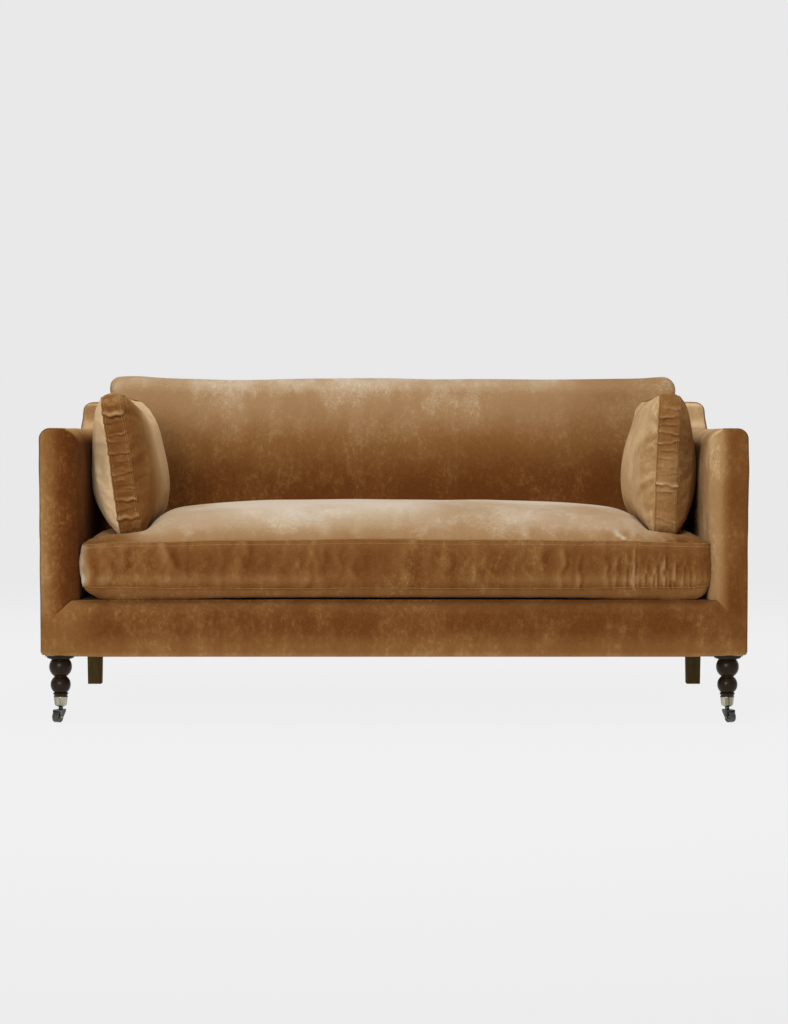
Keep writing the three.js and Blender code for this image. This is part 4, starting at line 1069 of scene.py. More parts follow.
class Cushion:
    """A boxed cushion about its own middle: u and v run across its faces and w through them.

    border is (lower seam, upper seam) as heights on w. Each vertex knows its place round the
    edge (around, metres), its distance in from the seam (inward), its share of the way up the
    border (across, 0 to 1) and its face (1 upper, -1 lower, 0 border).
    """

    def __init__(self, half_u, half_v, radii, border, count_u, count_v, count_w, draw):
        edge = rectangle_sides(-half_u, half_u, -half_v, half_v, radii, count_u, count_v)
        edge = self.pulled(edge, draw)
        grid = filled(edge, count_u, count_v)
        self.size = size = grid.shape[0] * grid.shape[1]
        rim = len(edge)
        low = np.arange(size).reshape(grid.shape[:2])
        high = low + size
        self.inner_rows = 2 * size + np.arange(rim * (count_w - 1)).reshape(count_w - 1, rim)
        self.shares = np.linspace(0, 1, count_w + 1)[1:-1]
        self.low_seam, self.high_seam = edge_numbers(low), edge_numbers(high)
        rows = [self.low_seam, *[list(row) for row in self.inner_rows], self.high_seam]
        self.border_rows = np.array(rows)
        self.faces = rows_to_faces([list(r) for r in low]) + rows_to_faces([list(r) for r in high])
        self.faces += rows_to_faces(rows, closed_across=True)
        flat = grid.reshape(-1, 2)
        levels = np.linspace(*border, count_w + 1)[1:-1]
        heights = np.concatenate([np.repeat(border, size), np.repeat(levels, rim)])
        self.points = np.column_stack([np.vstack([flat, flat, *[edge] * len(levels)]), heights])
        self.face = np.repeat((-1.0, 1.0, 0.0), (size, size, self.inner_rows.size))
        self.face[self.low_seam + self.high_seam] = 0
        steps = np.linalg.norm(np.roll(edge, -1, axis=0) - edge, axis=1)
        along = np.concatenate([[0], np.cumsum(steps)[:-1]])
        self.length = steps.sum()
        self.border_height = border[1] - border[0]
        gap = np.linalg.norm(flat[:, None] - edge[None], axis=2)
        nearest = gap.argmin(axis=1)
        self.around = np.concatenate([along[nearest], along[nearest], np.tile(along, count_w - 1)])
        inward = gap.min(axis=1)
        self.inward = np.concatenate([inward, inward, np.zeros(self.inner_rows.size)])
        self.across = np.concatenate([np.repeat((0.0, 1.0), size), np.repeat(self.shares, rim)])
        tangent = np.roll(edge, -1, axis=0) - np.roll(edge, 1, axis=0)
        tangent /= np.linalg.norm(tangent, axis=1, keepdims=True)
        self.outward = np.stack([tangent[:, 1], -tangent[:, 0]], axis=1)

    @staticmethod
    def pulled(edge, draw):
        """The sides pulled in between the corners."""
        half = np.abs(edge).max(axis=0)
        share = edge / half
        pull = draw * np.cos(np.pi / 2 * np.clip(share, -1, 1)) ** 1.2
        near_v = np.clip((np.abs(share[:, 1]) - 0.9) / 0.1, 0, 1)
        near_u = np.clip((np.abs(share[:, 0]) - 0.9) / 0.1, 0, 1)
        moved = edge.copy()
        moved[:, 1] -= np.sign(share[:, 1]) * pull[:, 0] * near_v
        moved[:, 0] -= np.sign(share[:, 0]) * pull[:, 1] * near_u
        return moved

    def bulge_border(self, amount, over_top=0.0):
        """Swells the border outwards between its two seams, and more over the cushion's top side."""
        for row, share in zip(self.inner_rows, self.shares):
            rise = amount + over_top * np.maximum(self.outward[:, 1:], 0)
            self.points[row, :2] += self.outward * rise * math.sin(math.pi * share)

    def piece(self, name):
        """The cushion as a smooth mesh object, its vertices in this object's order."""
        return mesh_piece(name, self.points, self.faces, merge=False)


SIM_FRAMES = 20
CLOTH = {
    "quality": 4, "mass": 0.4, "tension_stiffness": 12, "compression_stiffness": 8,
    "shear_stiffness": 6, "bending_stiffness": 0.4, "use_pressure": True,
    "vertex_group_mass": "seams",
}


def settled(cushion, name, pressure, spare, cap):
    """Fills a cushion's cover: cloth with some spare, blown up, moved no further than cap."""
    piece = cushion.piece(name)
    seams = piece.vertex_groups.new(name="seams")
    seams.add([int(i) for i in [*cushion.low_seam, *cushion.high_seam]], 1.0, "REPLACE")
    cloth = piece.modifiers.new("cloth", "CLOTH")
    given = {**CLOTH, "uniform_pressure_force": pressure, "shrink_min": -spare}
    for setting, value in given.items():
        setattr(cloth.settings, setting, value)
    cloth.settings.effector_weights.gravity = 0
    cloth.collision_settings.use_collision = False
    cloth.point_cache.frame_start = 1
    cloth.point_cache.frame_end = SIM_FRAMES
    scene = bpy.context.scene
    for moment in range(1, SIM_FRAMES + 1):
        scene.frame_set(moment)
    graph = bpy.context.evaluated_depsgraph_get()
    moved = coordinates(piece.evaluated_get(graph).to_mesh())
    piece.modifiers.remove(cloth)
    piece.vertex_groups.remove(seams)
    shift = moved - cushion.points
    length = np.linalg.norm(shift, axis=1, keepdims=True)
    shift *= np.minimum(1, cap / np.maximum(length, 1e-9))
    cushion.points = cushion.points + shift
    put(piece.data, cushion.points)
    scene.frame_set(1)
    return piece


def carried(piece, values):
    """Subdivides a piece and returns the numbers that its vertices had, spread over the new ones."""
    for name, numbers in values.items():
        piece.data.attributes.new(name, "FLOAT", "POINT").data.foreach_set("value", numbers)
    mesh = subdivided(piece).data
    found = []
    for name in values:
        numbers = np.empty(len(mesh.vertices))
        mesh.attributes[name].data.foreach_get("value", numbers)
        mesh.attributes.remove(mesh.attributes[name])
        found.append(numbers)
    return found


class Chart:
    """Where each vertex of a finished cushion lies: round its edge, in from it, over its border."""

    def __init__(self, cushion, piece):
        angle = cushion.around / cushion.length * math.tau
        turn_x, turn_y, self.inward, self.across, face = carried(piece, {
            "turn_x": np.cos(angle), "turn_y": np.sin(angle), "inward": cushion.inward,
            "across": cushion.across, "face": cushion.face,
        })
        self.length = cushion.length
        self.around = np.arctan2(turn_y, turn_x) % math.tau / math.tau * cushion.length
        self.face = np.where(np.abs(face) > 0.3, np.sign(face), 0)
        self.on_border = self.inward < 0.2 * MM
        over = np.minimum(self.across, 1 - self.across) * cushion.border_height
        self.from_seam = np.where(self.on_border, over, self.inward)

    def along(self, around, slant, by):
        """Distance round the edge from a place, slanted by another distance."""
        gap = self.around - around - slant * by
        return (gap + self.length / 2) % self.length - self.length / 2


def ridge(distance):
    """A soft fold: one crest with a shallow valley on each side."""
    return np.exp(-distance ** 2) - 0.45 * np.exp(-(distance / 2.2) ** 2)


def pleat(distance):
    """A fold that hangs over: a slow rise, a steep fall and a crease under it."""
    crest = np.exp(-np.where(distance > 0, distance * 2.3, distance * 0.9) ** 2)
    return crest - 0.55 * np.exp(-((distance - 0.95) / 0.6) ** 2)


def border_folds(chart, folds):
    """Heights of folds across the border: each is (around, half width, height, slant, low, high)."""
    total = np.zeros(len(chart.around))
    for around, width, height, slant, low, high in folds:
        bend = 0.35 * np.sin(chart.across * 5 + around * 90)
        bend = bend + 0.3 * np.sin(chart.across * 13 + around * 400)
        gap = chart.along(around, slant, chart.across - 0.5) - width * bend
        reach = np.clip((chart.across - low) / 0.2, 0, 1)
        reach = reach * np.clip((high - chart.across) / 0.2, 0, 1)
        swells = 0.75 + 0.25 * np.sin(chart.across * 6 + around * 230)
        total += height * pleat(gap / width) * swells * reach * chart.on_border
    return total


def face_folds(chart, folds):
    """Heights of folds that run in from a seam: (face, around, half width, height, length, slant)."""
    total = np.zeros(len(chart.around))
    for face, around, width, height, length, slant in folds:
        gap = chart.along(around, slant, chart.inward)
        spread = width * (1 + chart.inward / length)
        fade = np.exp(-(chart.inward / length) ** 2) * np.clip(chart.inward / (6 * MM), 0.25, 1)
        total += height * ridge(gap / spread) * fade * (chart.face == face)
    return total


def gathers(chart, spacing, on_border, on_faces, reach, seed):
    """Small uneven gathers all round, on the border and fading in over the faces."""
    flat = np.zeros(len(chart.around))
    over = np.stack([chart.around, chart.across * 60 * MM, flat], axis=1)
    inwards = np.stack(
        [chart.around + 0.3 * chart.inward, chart.inward * 0.3, chart.face * 0.5], axis=1)
    border = on_border * soft_noise(over, (spacing, 70 * MM, 1), seed)
    faces = on_faces * soft_noise(inwards, (spacing * 1.5, 90 * MM, 1), seed + 1)
    return np.where(chart.on_border, border, faces * np.exp(-chart.inward / reach))


def scattered(seed, count, start, end, width, height, slant=0.0):
    """Random folds between two places round the edge, from a fixed seed."""
    draw = np.random.default_rng(seed)
    return [(
        draw.uniform(start, end),
        width * draw.uniform(0.7, 1.4),
        height * draw.uniform(0.35, 1.0),
        slant * draw.uniform(-1, 1),
        draw.uniform(-0.25, 0.35),
        draw.uniform(0.65, 1.25),
    ) for _ in range(count)]


def finished_cushion(cushion, piece, fold_rule, groove):
    """Subdivides a settled cushion, lays its folds on it and presses a groove beside its seams."""
    chart = Chart(cushion, piece)
    place, outward = coordinates(piece.data), coordinates(piece.data, "normal")
    folds = fold_rule(chart, place)
    pressed = groove * bell(chart.from_seam, 2.5 * MM, 2.2 * MM)
    put(piece.data, place + outward * (folds - pressed)[:, None])
    return chart, folds


def seam_path(piece, numbers, lift):
    """The closed line of a seam on a finished piece, lifted off it a little."""
    return (coordinates(piece.data) + coordinates(piece.data, "normal") * lift)[numbers], True


def sewn(name, piece, cushion, body):
    """Welt cords on both seams of a cushion, and stitches beside them on its border."""
    stitched = cushion.border_rows[[-2] if "seat" in name else [1, -2]]
    paths = [seam_path(piece, row, 0.2 * MM) for row in cushion.border_rows[[0, -1]]]
    welt(f"{name}_welts", paths, 1.1 * MM, body, 0.5)
    beside = [seam_path(piece, row, 0.25 * MM) for row in stitched]
    stitching(f"{name}_stitches", beside, 6 * MM, body)


# Folds across the front borders: share of the way up, half width, height and slant in millimetres,
# and the shares of the border's width where each starts and ends
LEFT_FRONT_FOLDS = (
    (0.12, 6, 9, 5, -0.3, 1.3), (0.17, 4, 3, -4, -0.2, 0.8), (0.27, 4, 3.2, -5, -0.3, 1.3),
    (0.32, 3.4, 2.4, 4, -0.3, 0.9), (0.41, 4, 3.4, 3, -0.3, 1.3), (0.47, 3.2, 2, -4, 0.2, 1.3),
    (0.56, 4, 3.2, -3, -0.3, 1.3), (0.61, 3.2, 2.2, 5, -0.3, 0.7), (0.67, 3.4, 2, 3, 0.3, 1.3),
    (0.755, 5, 5, 9, -0.3, 1.3), (0.82, 3.4, 2.2, -4, -0.3, 0.8), (0.89, 6.5, 6.5, -5, -0.3, 1.3),
)
RIGHT_FRONT_FOLDS = (
    (0.08, 4, 3, 3, 0.2, 1.3), (0.14, 4.5, 3.8, -3, -0.3, 1.3), (0.20, 3.6, 2.8, 4, -0.3, 1.0),
    (0.26, 4.2, 4, 3, -0.3, 1.3), (0.33, 4.2, 4.4, -7, -0.3, 1.3), (0.39, 3.6, 2.6, 3, 0.1, 1.3),
    (0.45, 3.4, 2, 4, -0.3, 0.9), (0.56, 3.2, 1.6, -3, -0.3, 1.3), (0.645, 5, 5.4, 5, -0.3, 1.3),
    (0.69, 3.6, 2.6, -4, -0.3, 1.0), (0.90, 4, 2.4, 14, -0.1, 1.1),
)
# What differs between the left and the right: folds, creases (share, slant), swell of the border's
# top, and a local change of the inner face's fullness (amount, middle)
SIDE_WAYS = {
    -1: (LEFT_FRONT_FOLDS, ((0.10, 0.4), (0.5, -0.3)), 3.5 * MM, 0.12, 0.76),
    1: (RIGHT_FRONT_FOLDS, ((0.30, 0.5), (0.62, 0.55)), 1.5 * MM, -0.24, 0.85),
}
SIDE_HALF_LENGTH = 234 * MM
SIDE_HALF_HEIGHT = 175.5 * MM
SIDE_HALF_BORDER = 25.5 * MM
SIDE_CROWN = 57 * MM
SIDE_CORNER = 36 * MM
SIDE_SETBACK = 78 * MM
SIDE_MIDDLE_HEIGHT = 627.5 * MM
# How the side cushions stand: distance from the sofa's middle, and lean outwards in degrees
SIDE_STANDS = {-1: (673 * MM, 8), 1: (674 * MM, 1.9)}
FULLEST_AT = 0.42


def side_cushion(side):
    """A boxed cushion that stands on the seat on its border and leans on the arm."""
    front_folds, creases, over_top, change, change_at = SIDE_WAYS[side]
    count_u, count_v, count_w = 84, 92, 10
    radii = (38 * MM, 55 * MM, 78 * MM, 34 * MM)
    border = (-SIDE_HALF_BORDER, SIDE_HALF_BORDER)
    cushion = Cushion(
        SIDE_HALF_LENGTH, SIDE_HALF_HEIGHT, radii, border, count_u, count_v, count_w, 8 * MM)
    u = np.linspace(0, 1, count_u + 1)[None, :]
    v = np.linspace(0, 1, count_v + 1)[:, None]
    fullness = 0.8 - 0.28 * eased(v, 0.45, 0.9)
    skew = math.log(0.5) / math.log(FULLEST_AT)
    crown = np.abs(np.sin(np.pi * v ** skew)) ** fullness * np.sin(np.pi * u) ** 0.55 * SIDE_CROWN
    outer_crown = crown * (1.12 + (0.13 * eased(v, 0.6, 0.3) if side < 0 else 0))
    inner_crown = crown * (1 + change * bell(v, change_at, 0.14))
    size = cushion.size
    cushion.points[:size, 2] -= (outer_crown if side < 0 else inner_crown).ravel()
    cushion.points[size:2 * size, 2] += (outer_crown if side > 0 else inner_crown).ravel()
    cushion.bulge_border(2.5 * MM, over_top)
    rearward = np.clip(cushion.points[:, 0] / SIDE_HALF_LENGTH * 0.5 + 0.5, 0, 1)
    upward = np.clip(cushion.points[:, 1] / SIDE_HALF_HEIGHT * 0.5 + 0.5, 0, 1)
    cushion.points[:, 1] -= 20 * MM * rearward ** 2 * upward
    piece = settled(cushion, f"side_cushion_cover_{WORDS[side]}", 3.0, 0.03, 7 * MM)
    front_start = cushion.length - 2 * (SIDE_HALF_HEIGHT - SIDE_CORNER) - SIDE_CORNER * math.pi / 2
    front_run = cushion.length - front_start
    draw = np.random.default_rng(50 + side)

    def folds(chart, place):
        total = border_folds(chart, [
            (front_start + front_run * share, width * MM, height * MM, slant * MM, low, high)
            for share, width, height, slant, low, high in front_folds
        ] + scattered(31 + side, 30, 0, front_start, 8 * MM, 1.8 * MM, 8 * MM))
        total += face_folds(chart, [
            (draw.choice((-1, 1)), draw.uniform(0, cushion.length), 8 * MM * draw.uniform(0.7, 1.5),
             1.8 * MM * draw.uniform(0.3, 1.0), draw.uniform(20, 55) * MM, draw.uniform(-0.6, 0.6))
            for _ in range(60)
        ])
        total += face_folds(chart, [
            (-side, front_start + front_run * share, 9 * MM, -3.6 * MM, 75 * MM, slant)
            for share, slant in creases
        ])
        return total + gathers(chart, 9 * MM, 1.1 * MM, 1.3 * MM, 16 * MM, 80 + side)

    return cushion, piece, finished_cushion(cushion, piece, folds, 0.8 * MM)


def stood(piece, side):
    """Stands a side cushion in its place: u runs back, v up, and w to the sofa's side."""
    from_middle, lean = SIDE_STANDS[side]
    back, up, out = coordinates(piece.data).T
    angle = math.radians(side * lean)
    put(piece.data, np.stack([
        out * math.cos(angle) + up * math.sin(angle) + side * from_middle,
        back + (front + SIDE_SETBACK + SIDE_HALF_LENGTH),
        -out * math.sin(angle) + up * math.cos(angle) + SIDE_MIDDLE_HEIGHT,
    ], axis=1))


SEAT_HALF = 768.5 * MM, 330 * MM
SEAT_MIDDLE = np.array((5 * MM, front + 331 * MM, 0))
SEAT_BORDER = 336 * MM, 440 * MM
SEAT_CROWN = 76 * MM
# Folds across the seat's front border: distance from its right end, half width and height in
# millimetres, and the shares of the border's height where each starts and ends
SEAT_FRONT_FOLDS = (
    (262, 8, 3.0, -0.2, 0.6), (238, 6, 3.4, -0.2, 0.7), (216, 5, 3.0, -0.1, 0.8),
    (196, 3.2, 5.4, -0.3, 0.95), (184, 3.0, 3.2, -0.3, 0.5), (166, 3.2, 4.0, -0.2, 0.6),
    (148, 3.4, 3.4, -0.3, 0.55), (140, 3.0, 4.4, -0.3, 0.7), (122, 3.2, 5.2, -0.3, 0.75),
    (108, 3.0, 3.2, -0.3, 0.45), (96, 3.2, 4.2, -0.3, 0.6), (76, 3.2, 4.2, -0.2, 0.7),
    (60, 3.0, 2.6, -0.3, 0.45), (48, 3.4, 3.2, -0.3, 0.6), (330, 8, 2.4, -0.3, 0.8),
    (372, 10, 2.6, -0.3, 0.9),
)


def seat_cushion():
    """The bench seat: a deep crowned top, a tall border and an underside flat where it rests."""
    cushion = Cushion(*SEAT_HALF, (32 * MM,) * 4, SEAT_BORDER, 154, 66, 12, 5 * MM)
    a = cushion.points[:, 0] / SEAT_HALF[0]
    b = cushion.points[:, 1] / SEAT_HALF[1]
    bow = 7 * MM * (1 - np.abs(a) ** 2.4)
    cushion.points[:, 2] += bow * (2 * cushion.across - 0.5)
    cushion.points[:, 2] += 1.6 * MM * soft_noise(cushion.points * (1, 1, 0), 110 * MM, 60)
    crown = (1 - np.abs(a) ** 5.5).clip(0) * (1 - np.abs(b) ** 3.5).clip(0)
    above = cushion.face > 0
    cushion.points[above, 2] += SEAT_CROWN * crown[above]
    below = cushion.face < 0
    end = np.abs(a) ** 12 * np.where(a < 0, 1, 0.4)
    fall = 1 - (1 - np.clip(cushion.inward / ((25 + 75 * end) * MM), 0, 1)) ** 2
    fall **= 0.5 + 0.35 * end
    cushion.points[below, 2] += ((lip_top + 1 * MM - cushion.points[:, 2]) * fall)[below]
    cushion.bulge_border(4 * MM)
    piece = settled(cushion, "seat_cover", 4.0, 0.015, 6 * MM)
    right_front = 2 * SEAT_HALF[0]
    draw = np.random.default_rng(77)
    cushion.points += SEAT_MIDDLE
    put(piece.data, coordinates(piece.data) + SEAT_MIDDLE)

    def folds(chart, place):
        total = border_folds(chart, [
            (right_front - at * MM, width * MM, height * MM, 6 * MM, low, high)
            for at, width, height, low, high in SEAT_FRONT_FOLDS
        ] + scattered(7, 60, 0, right_front, 13 * MM, 1.3 * MM, 10 * MM)
          + scattered(8, 60, right_front, cushion.length, 13 * MM, 1.3 * MM, 10 * MM))
        total += face_folds(chart, [
            (1, right_front - draw.uniform(6, 260) * MM, 5 * MM, draw.uniform(1.5, 3.6) * MM,
             draw.uniform(14, 34) * MM, draw.uniform(-0.4, 0.4)) for _ in range(26)
        ] + [
            (1, draw.uniform(0, cushion.length), 9 * MM, draw.uniform(0.3, 1.0) * MM,
             draw.uniform(20, 60) * MM, draw.uniform(-0.5, 0.5)) for _ in range(70)
        ])
        lumps = 1.6 * MM * soft_noise(place, (170 * MM, 140 * MM, 200 * MM), 61)
        total += lumps * np.clip(chart.inward / (50 * MM), 0, 1) * (chart.face > 0)
        return total + gathers(chart, 16 * MM, 0.5 * MM, 0.8 * MM, 22 * MM, 90)

    return cushion, piece, finished_cushion(cushion, piece, folds, 1.4 * MM)


def pressed_under(piece, others, gap, spread):
    """Presses the top of a piece down under others that stand on it, easing off round them."""
    place = coordinates(piece.data)
    press = np.zeros(len(place))
    for other in others:
        other.data.calc_loop_triangles()
        triangles = [tuple(t.vertices) for t in other.data.loop_triangles]
        tree = BVHTree.FromPolygons([v.co for v in other.data.vertices], triangles)
        for i in np.flatnonzero(np.abs(place[:, 0]) > 380 * MM):
            hit = tree.ray_cast(Vector((place[i, 0], place[i, 1], 200 * MM)), Vector((0, 0, 1)))[0]
            if hit is not None:
                press[i] = max(press[i], place[i, 2] - hit.z + gap)
    pressed = np.flatnonzero(press > 0)
    around = press.copy()
    for part in np.array_split(np.arange(len(place)), 40):
        distance = np.linalg.norm(place[part][:, None, :2] - place[pressed][None, :, :2], axis=2)
        near = press[pressed][None] * np.exp(-(distance / spread) ** 1.6)
        around[part] = np.maximum(around[part], near.max(axis=1))
    high_part = np.clip((place[:, 2] - 400 * MM) / (60 * MM), 0, 1)
    place[:, 2] -= np.maximum(around * high_part, press)
    put(piece.data, place)


def left_painted_shading(place, facing):
    """The left cushion's painted light and shade: an inner face painted paler rearwards, an outer
    face painted pale where the light from the left falls, and a dark border.
    """
    outer = blend(facing, (1.35, 0.8, 1.02, 0.5, 0.85, 0.6))
    border = blend(facing, (0.5, 0.5, 0.36, 0.4, 0.62, 0.3))
    depth = place[:, 1] - front - SIDE_SETBACK
    height = np.clip((place[:, 2] - 550 * MM) / (250 * MM), 0, 1)
    inner = 0.39 + (0.4 + 0.25 * height) * eased(depth, 22 * MM, 160 * MM)
    inner += 0.15 * eased(place[:, 2], 760 * MM, 800 * MM)
    return inner, outer, border


def right_painted_shading(place, facing):
    """The right cushion's painted light and shade: an outer face painted dark, turned from the light,
    an inner face painted pale, turned to it, and a brown border.
    """
    outer = blend(facing, (0.45, 0.56, 0.46, 0.35, 0.55, 0.3))
    border = blend(facing, (0.5, 0.45, 0.48, 0.4, 0.5, 0.3))
    border += 0.12 * eased(place[:, 2], 690 * MM, 620 * MM)
    return outer, blend(facing, (0.88, 0.66, 0.6, 0.5, 0.82, 0.6)), border


def seat_painted_shading(place, facing):
    """The seat's painted light and shade: painted sheen over the crown, painted shade at its front
    and at its two ends.
    """
    out, up = place[:, 0], place[:, 2]
    depth = np.maximum(place[:, 1] - front, 0)
    top = 0.66 + 0.36 * (1 - np.exp(-depth / (110 * MM))) - 0.05 * np.exp(-depth / (7 * MM))
    top += 0.1 * eased(out, 300 * MM, 450 * MM) * eased(depth, 150 * MM, 400 * MM)
    # Painted shade at the seat's two ends, beside the side cushions
    top -= 0.3 * np.maximum(eased(out, -590 * MM, -690 * MM), eased(out, 630 * MM, 700 * MM))
    border = blend(facing, (0.8, 0.4, 0.33, 0.4, 0.6, 0.3))
    low = 0.15 - 0.1 * eased(out, -280 * MM, -80 * MM) + 0.09 * eased(out, 150 * MM, 350 * MM)
    border += 0.05 * bell(up, 437 * MM, 11 * MM) + low * bell(up, 354 * MM, 14 * MM)
    border += 0.14 * eased(out, -735 * MM, -765 * MM)
    return top, blend(facing, (0.6, 0.35, 0.46, 0.3, 0.4, 0.45)), border


def cushion_painted_shading(laid, faces, steepness, darkest, palest):
    """The painted light and shade of a cushion's upper face, lower face and border, painted paler on
    the crests of its folds and darker in their creases.
    """
    chart, heights = laid

    def rule(place, facing, corner):
        face = chart.face[corner]
        upper, lower, border = faces(place, facing)
        nap = np.where(face > 0, upper, np.where(face < 0, lower, border))
        return nap + np.clip(heights[corner] * steepness, darkest, palest)
    return rule


# Turned legs and castors

def turned_tree():
    """A turned shape: a round section swept up an axis, as wide as each point says."""
    tree, graph, given = new_group("turned", {"Sides": "Int", "Material": "Material"})
    width = graph.node(
        "GeometryNodeInputNamedAttribute", {"data_type": "FLOAT"}, {"Name": "turned_radius"})
    finish_group(graph, swept(graph, given, {"Radius": 1.0}, Scale=width), given["Material"])
    return tree


TURNED_TREE = turned_tree()


def ball(height, radius, start, end, steps):
    """(radius, height) pairs round part of a ball, with angles in degrees from its middle up."""
    angles = np.radians(np.linspace(start, end, steps + 1))
    return [(radius * math.cos(a), height + radius * math.sin(a)) for a in angles]


# The front leg's radius and height in millimetres from the cup up: flared ring, two balls with a
# tight neck, cone and collar
LEG_OUTLINE = (
    (12.8, 40), (15, 63), (16.3, 63.2), (16.4, 65.4), (16.8, 67.2), (17.9, 68.7), (18.7, 69.6),
    (18.8, 70.5), (18.3, 71.3), (16.6, 71.9), (15.2, 72.5),
    *ball(92, 24.7, -51, 49, 26),
    (15.5, 111.6), (15.4, 112.2), (15.8, 112.8),
    *ball(136, 27.9, -55, 37, 28),
    (21.5, 153.2), (21.3, 153.9), (22.6, 154.5), (25, 155.2), (31.4, 157.6), (32.9, 158.5),
    (33.5, 159.8), (33.3, 165.9), (31, 166),
)


def front_leg(side):
    """A turned front leg in place."""
    axis = [(0, 0, height * MM) for _, height in LEG_OUTLINE]
    piece = path_mesh(f"turned_leg_{WORDS[side]}", [(axis, False)])
    width = piece.data.attributes.new("turned_radius", "FLOAT", "POINT")
    width.data.foreach_set("value", [radius * MM for radius, _ in LEG_OUTLINE])
    grown(piece, TURNED_TREE, {"Sides": 96, "Material": WOOD})
    piece.data.set_sharp_from_angle(angle=math.radians(38))
    put(piece.data, coordinates(piece.data) + (side * leg_x, leg_y, 0))
    dress(piece, WOOD, stands_for=(f"front_leg_{WORDS[side]}",))


def lathe(name, outline, bored=False, sides=72):
    """A piece turned about Z from a (radius, height) outline in millimetres."""
    angles = np.arange(sides) * math.tau / sides
    rings = Rings()
    for radius, height in outline:
        rings.add([
            (radius * MM * math.cos(a), radius * MM * math.sin(a), height * MM) for a in angles
        ])
    return mesh_piece(name, rings.points, rings.faces(bored), sharp=40)


def mirrored(outline):
    """An outline followed by its mirror image below."""
    return [*outline, *[(radius, -height) for radius, height in reversed(outline)]]


CUP_OUTLINE = (
    (0.4, 38), (7, 38), (8.6, 38.15), (11.2, 38.9), (13.3, 40.3), (14.6, 42.2), (15.2, 44.6),
    (16.4, 58.2), (16.7, 59.4), (17.3, 60), (17.7, 60.9), (17.6, 62.2), (16.9, 63), (0.4, 63),
)
STEM_OUTLINE = (
    (0.4, 26.1), (4.2, 26.1), (5, 26.7), (5, 27.7), (4, 27.8), (4, 31.3), (5.1, 31.3), (5.5, 31.7),
    (5.5, 37.3), (5.1, 37.7), (4, 37.8), (4, 39.4), (0.4, 39.4),
)
WHEEL_OUTLINE = (
    (2.3, 8.5), (4.2, 8.5), (4.6, 8.2), (5.2, 7.3), (9.6, 7.1), (10.2, 7.6), (10.6, 8.4), (12, 8.5),
    (12.9, 8.1), (13.35, 7.2), (13.5, 6), (13.5, 2),
)
AXLE_OUTLINE = (
    (0.3, 12.4), (1.6, 12.3), (2.7, 11.95), (3.4, 11.4), (3.4, 11.1), (2, 11.05), (2, 2),
)


def castor(side):
    """A cup castor: cup, stem, horn, axle and wheel, turned as its solids are."""
    word = WORDS[side]
    foot = Vector((side * leg_x, leg_y, 0))
    low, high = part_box(f"castor_wheel_{word}")
    hub = (low + high) / 2
    trail = Vector((hub.x - foot.x, hub.y - foot.y, 0)).normalized()
    axis = Vector((0, 0, 1)).cross(trail)
    turn = Matrix((trail, axis, (0, 0, 1))).transposed()
    lying = Matrix.Translation(hub) @ axis.to_track_quat("Z", "Y").to_matrix().to_4x4()
    upright = Matrix.Translation(foot) @ turn.to_4x4()
    swivel = f"castor_swivel_{word}"
    for name, outline, place, material, slot, body in (
        ("cup", CUP_OUTLINE, upright, NICKEL, "satin_nickel", ROOT),
        ("stem", STEM_OUTLINE, upright, IRON, "aged_iron", ROOT),
        ("wheel", mirrored(WHEEL_OUTLINE), lying, TREAD, "aged_iron", f"castor_wheel_{word}"),
        ("axle", mirrored(AXLE_OUTLINE), lying, NICKEL, "satin_nickel", swivel),
    ):
        piece = lathe(f"turned_castor_{name}_{word}", outline, name == "wheel")
        piece.data.transform(place)
        dress(piece, material, body, (f"castor_{name}_{word}",))
    horn = link(f"cast_horn_{word}", frame["nodes"][f"castor_horn_{word}"].data.copy())
    edge = horn.modifiers.new("edge", "BEVEL")
    edge.width = 0.5 * MM
    edge.segments = 3
    edge.limit_method = "ANGLE"
    edge.angle_limit = math.radians(40)
    baked(horn)
    dress(horn, IRON, swivel, (f"castor_horn_{word}",))


# The making

for direction, word in WORDS.items():
    seams = arm_cover(direction)
    # The arch and ear cords are painted dark as shade, the edge cord a little paler
    welt(f"arm_arch_welt_{word}", [(seams["arch"], False)], 1.1 * MM, nap=0.0)
    welt(f"arm_edge_welt_{word}", [(seams["edge"], False)], 1.0 * MM, nap=0.2)
    welt(f"ear_welt_{word}", [(seams["ear"], False)], 1.0 * MM, nap=0.0)
    side_panel(direction)
    front_leg(direction)
    castor(direction)
border_cover()
back_cover()
outside_back()

left_side, left_piece, left_folds = side_cushion(-1)
right_side, right_piece, right_folds = side_cushion(1)
stood(left_piece, -1)
stood(right_piece, 1)
seat, seat_piece, seat_folds = seat_cushion()
pressed_under(seat_piece, [left_piece, right_piece], 1.5 * MM, 26 * MM)

# How much a fold's height paints highlight on its crest and shade in its crease, and the darkest and
# palest that it can make it
SIDE_SHADE = 50, -0.25, 0.22
SEAT_SHADE = 75, -0.22, 0.3
for piece, shape, body, material, laid, faces, shade in (
    (left_piece, left_side, "side_cushion_left", VELVET_SIDE, left_folds, left_painted_shading, SIDE_SHADE),
    (right_piece, right_side, "side_cushion_right", VELVET_SIDE, right_folds, right_painted_shading,
     SIDE_SHADE),
    (seat_piece, seat, "seat_cushion", VELVET_SEAT, seat_folds, seat_painted_shading, SEAT_SHADE),
):
    paint_shading(piece, cushion_painted_shading(laid, faces, *shade))
    dress(piece, material, body, (body,))
    sewn(piece.name, piece, shape, body)


# The CAD pieces that stay in view get their materials

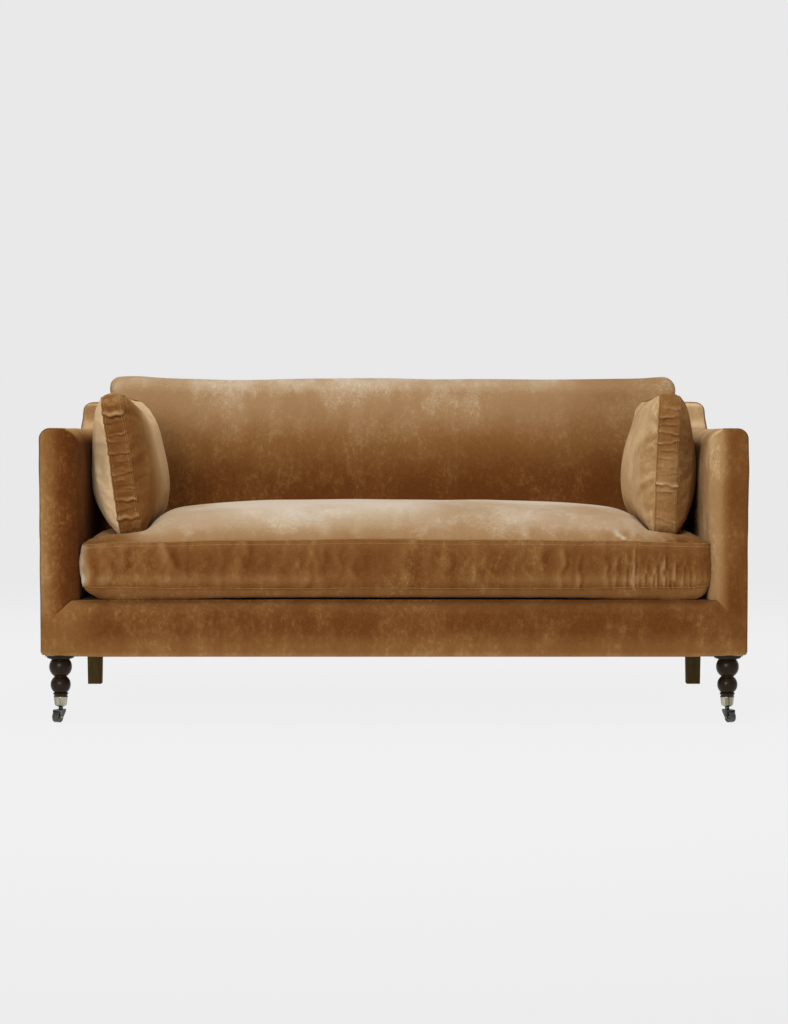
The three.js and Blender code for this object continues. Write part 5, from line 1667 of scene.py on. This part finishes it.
FINISHES = {
    "dark_wood": LEG_WOOD, "frame_timber": TIMBER, "spring_steel": STEEL, "satin_nickel": NICKEL,
    "aged_iron": IRON, "lining_cloth": LINING, "hessian": HESSIAN, "velvet": VELVET,
    "cushion_velvet": VELVET_SEAT,
}
for row in frame["record"]["subparts"]:
    node = frame["nodes"][row["node"]]
    node.data.materials.clear()
    finish = DECK if row["node"] == "seat_deck" else FINISHES[row["material_slot"]]
    node.data.materials.append(finish)


# The room: a pale floor that fades into the same pale surroundings, a camera and soft lights

WALL_GREY = (*from_srgb(233, 233, 233), 1)
FLOOR_GREY = (*from_srgb(241, 241, 241), 1)
GLOW_SHARE = 0.955
FADE_START, FADE_END = 1.6, 4.5
FLOOR_HALF = 60
FLOOR_DROP = 0.2 * MM
BACKDROP_HALF_WIDTH, BACKDROP_DEPTH = 14, 9
BACKDROP_MIDDLE, BACKDROP_HALF_HEIGHT = 5, 6
WORLD_STRENGTH = 0.56
CAMERA_PLACE = (0, -6.2746, 0.790)
CAMERA_PITCH = 87.33
CAMERA_LENS = 84.3
CAMERA_REACH = 300
SQUARE = ((-1, -1), (1, -1), (1, 1), (-1, 1))


def glow(graph, grey):
    """A shader that shines in an even grey."""
    return graph.node("ShaderNodeEmission", None, {"Color": grey, "Strength": 1.0})


def pale_floor():
    """A plain pale floor, whose far part glows as evenly as the surroundings."""
    material, graph, place = new_material("pale_floor")
    far = graph.node("ShaderNodeVectorMath", {"operation": "LENGTH"}, {0: place}, "Value")
    far = far.eased(FADE_START, FADE_END)
    bare = graph.node("ShaderNodeBsdfDiffuse", None, {"Color": (0.80, 0.80, 0.80, 1)})
    bright = glow(graph, FLOOR_GREY)
    near = graph.node("ShaderNodeMixShader", None, {0: GLOW_SHARE, 1: bare, 2: bright})
    shader = graph.node("ShaderNodeMixShader", None, {0: far, 1: near, 2: glow(graph, WALL_GREY)})
    return ended(material, graph, shader)


def pale_wall():
    """A plain pale wall, evenly lit."""
    material, graph, place = new_material("pale_wall")
    return ended(material, graph, glow(graph, WALL_GREY))


for name, points, material in (
    ("floor", [(x * FLOOR_HALF, y * FLOOR_HALF, -FLOOR_DROP) for x, y in SQUARE], pale_floor()),
    ("backdrop", [
        (BACKDROP_HALF_WIDTH * x, BACKDROP_DEPTH, BACKDROP_MIDDLE + BACKDROP_HALF_HEIGHT * z)
        for x, z in SQUARE
    ], pale_wall()),
):
    plane = mesh_piece(name, points, [(0, 1, 2, 3)])
    plane.data.materials.append(material)

world = bpy.data.worlds.new("pale_room")
bpy.context.scene.world = world
world.use_nodes = True
background = world.node_tree.nodes["Background"].inputs
background["Color"].default_value = WALL_GREY
background["Strength"].default_value = WORLD_STRENGTH

camera = link("camera", bpy.data.cameras.new("camera"))
camera.location = CAMERA_PLACE
camera.rotation_euler = (math.radians(CAMERA_PITCH), 0, 0)
camera.data.lens = CAMERA_LENS
camera.data.clip_end = CAMERA_REACH
bpy.context.scene.camera = camera


def soft_light(name, place, target, width, height, power, tint=(1, 1, 1)):
    """A soft rectangular light that faces a target."""
    data = bpy.data.lights.new(name, "AREA")
    data.shape = "RECTANGLE"
    data.size, data.size_y = width, height
    data.energy = power
    data.color = tint
    lamp = link(name, data)
    lamp.location = place
    lamp.rotation_euler = (Vector(target) - Vector(place)).to_track_quat("-Z", "Y").to_euler()


soft_light("key", (-1.6, -6.0, 2.2), (0, 0, 0.4), 1.8, 1.8, 175)
soft_light("overhead", (-0.2, -0.6, 3.6), (0, 0, 0.4), 3.2, 2.2, 46)
soft_light("glint", (0.6, -6.3, 1.8), (0, -0.4, 0.2), 0.2, 0.2, 5, (1, 0.86, 0.7))

bpy.context.scene.view_settings.view_transform = "Standard"
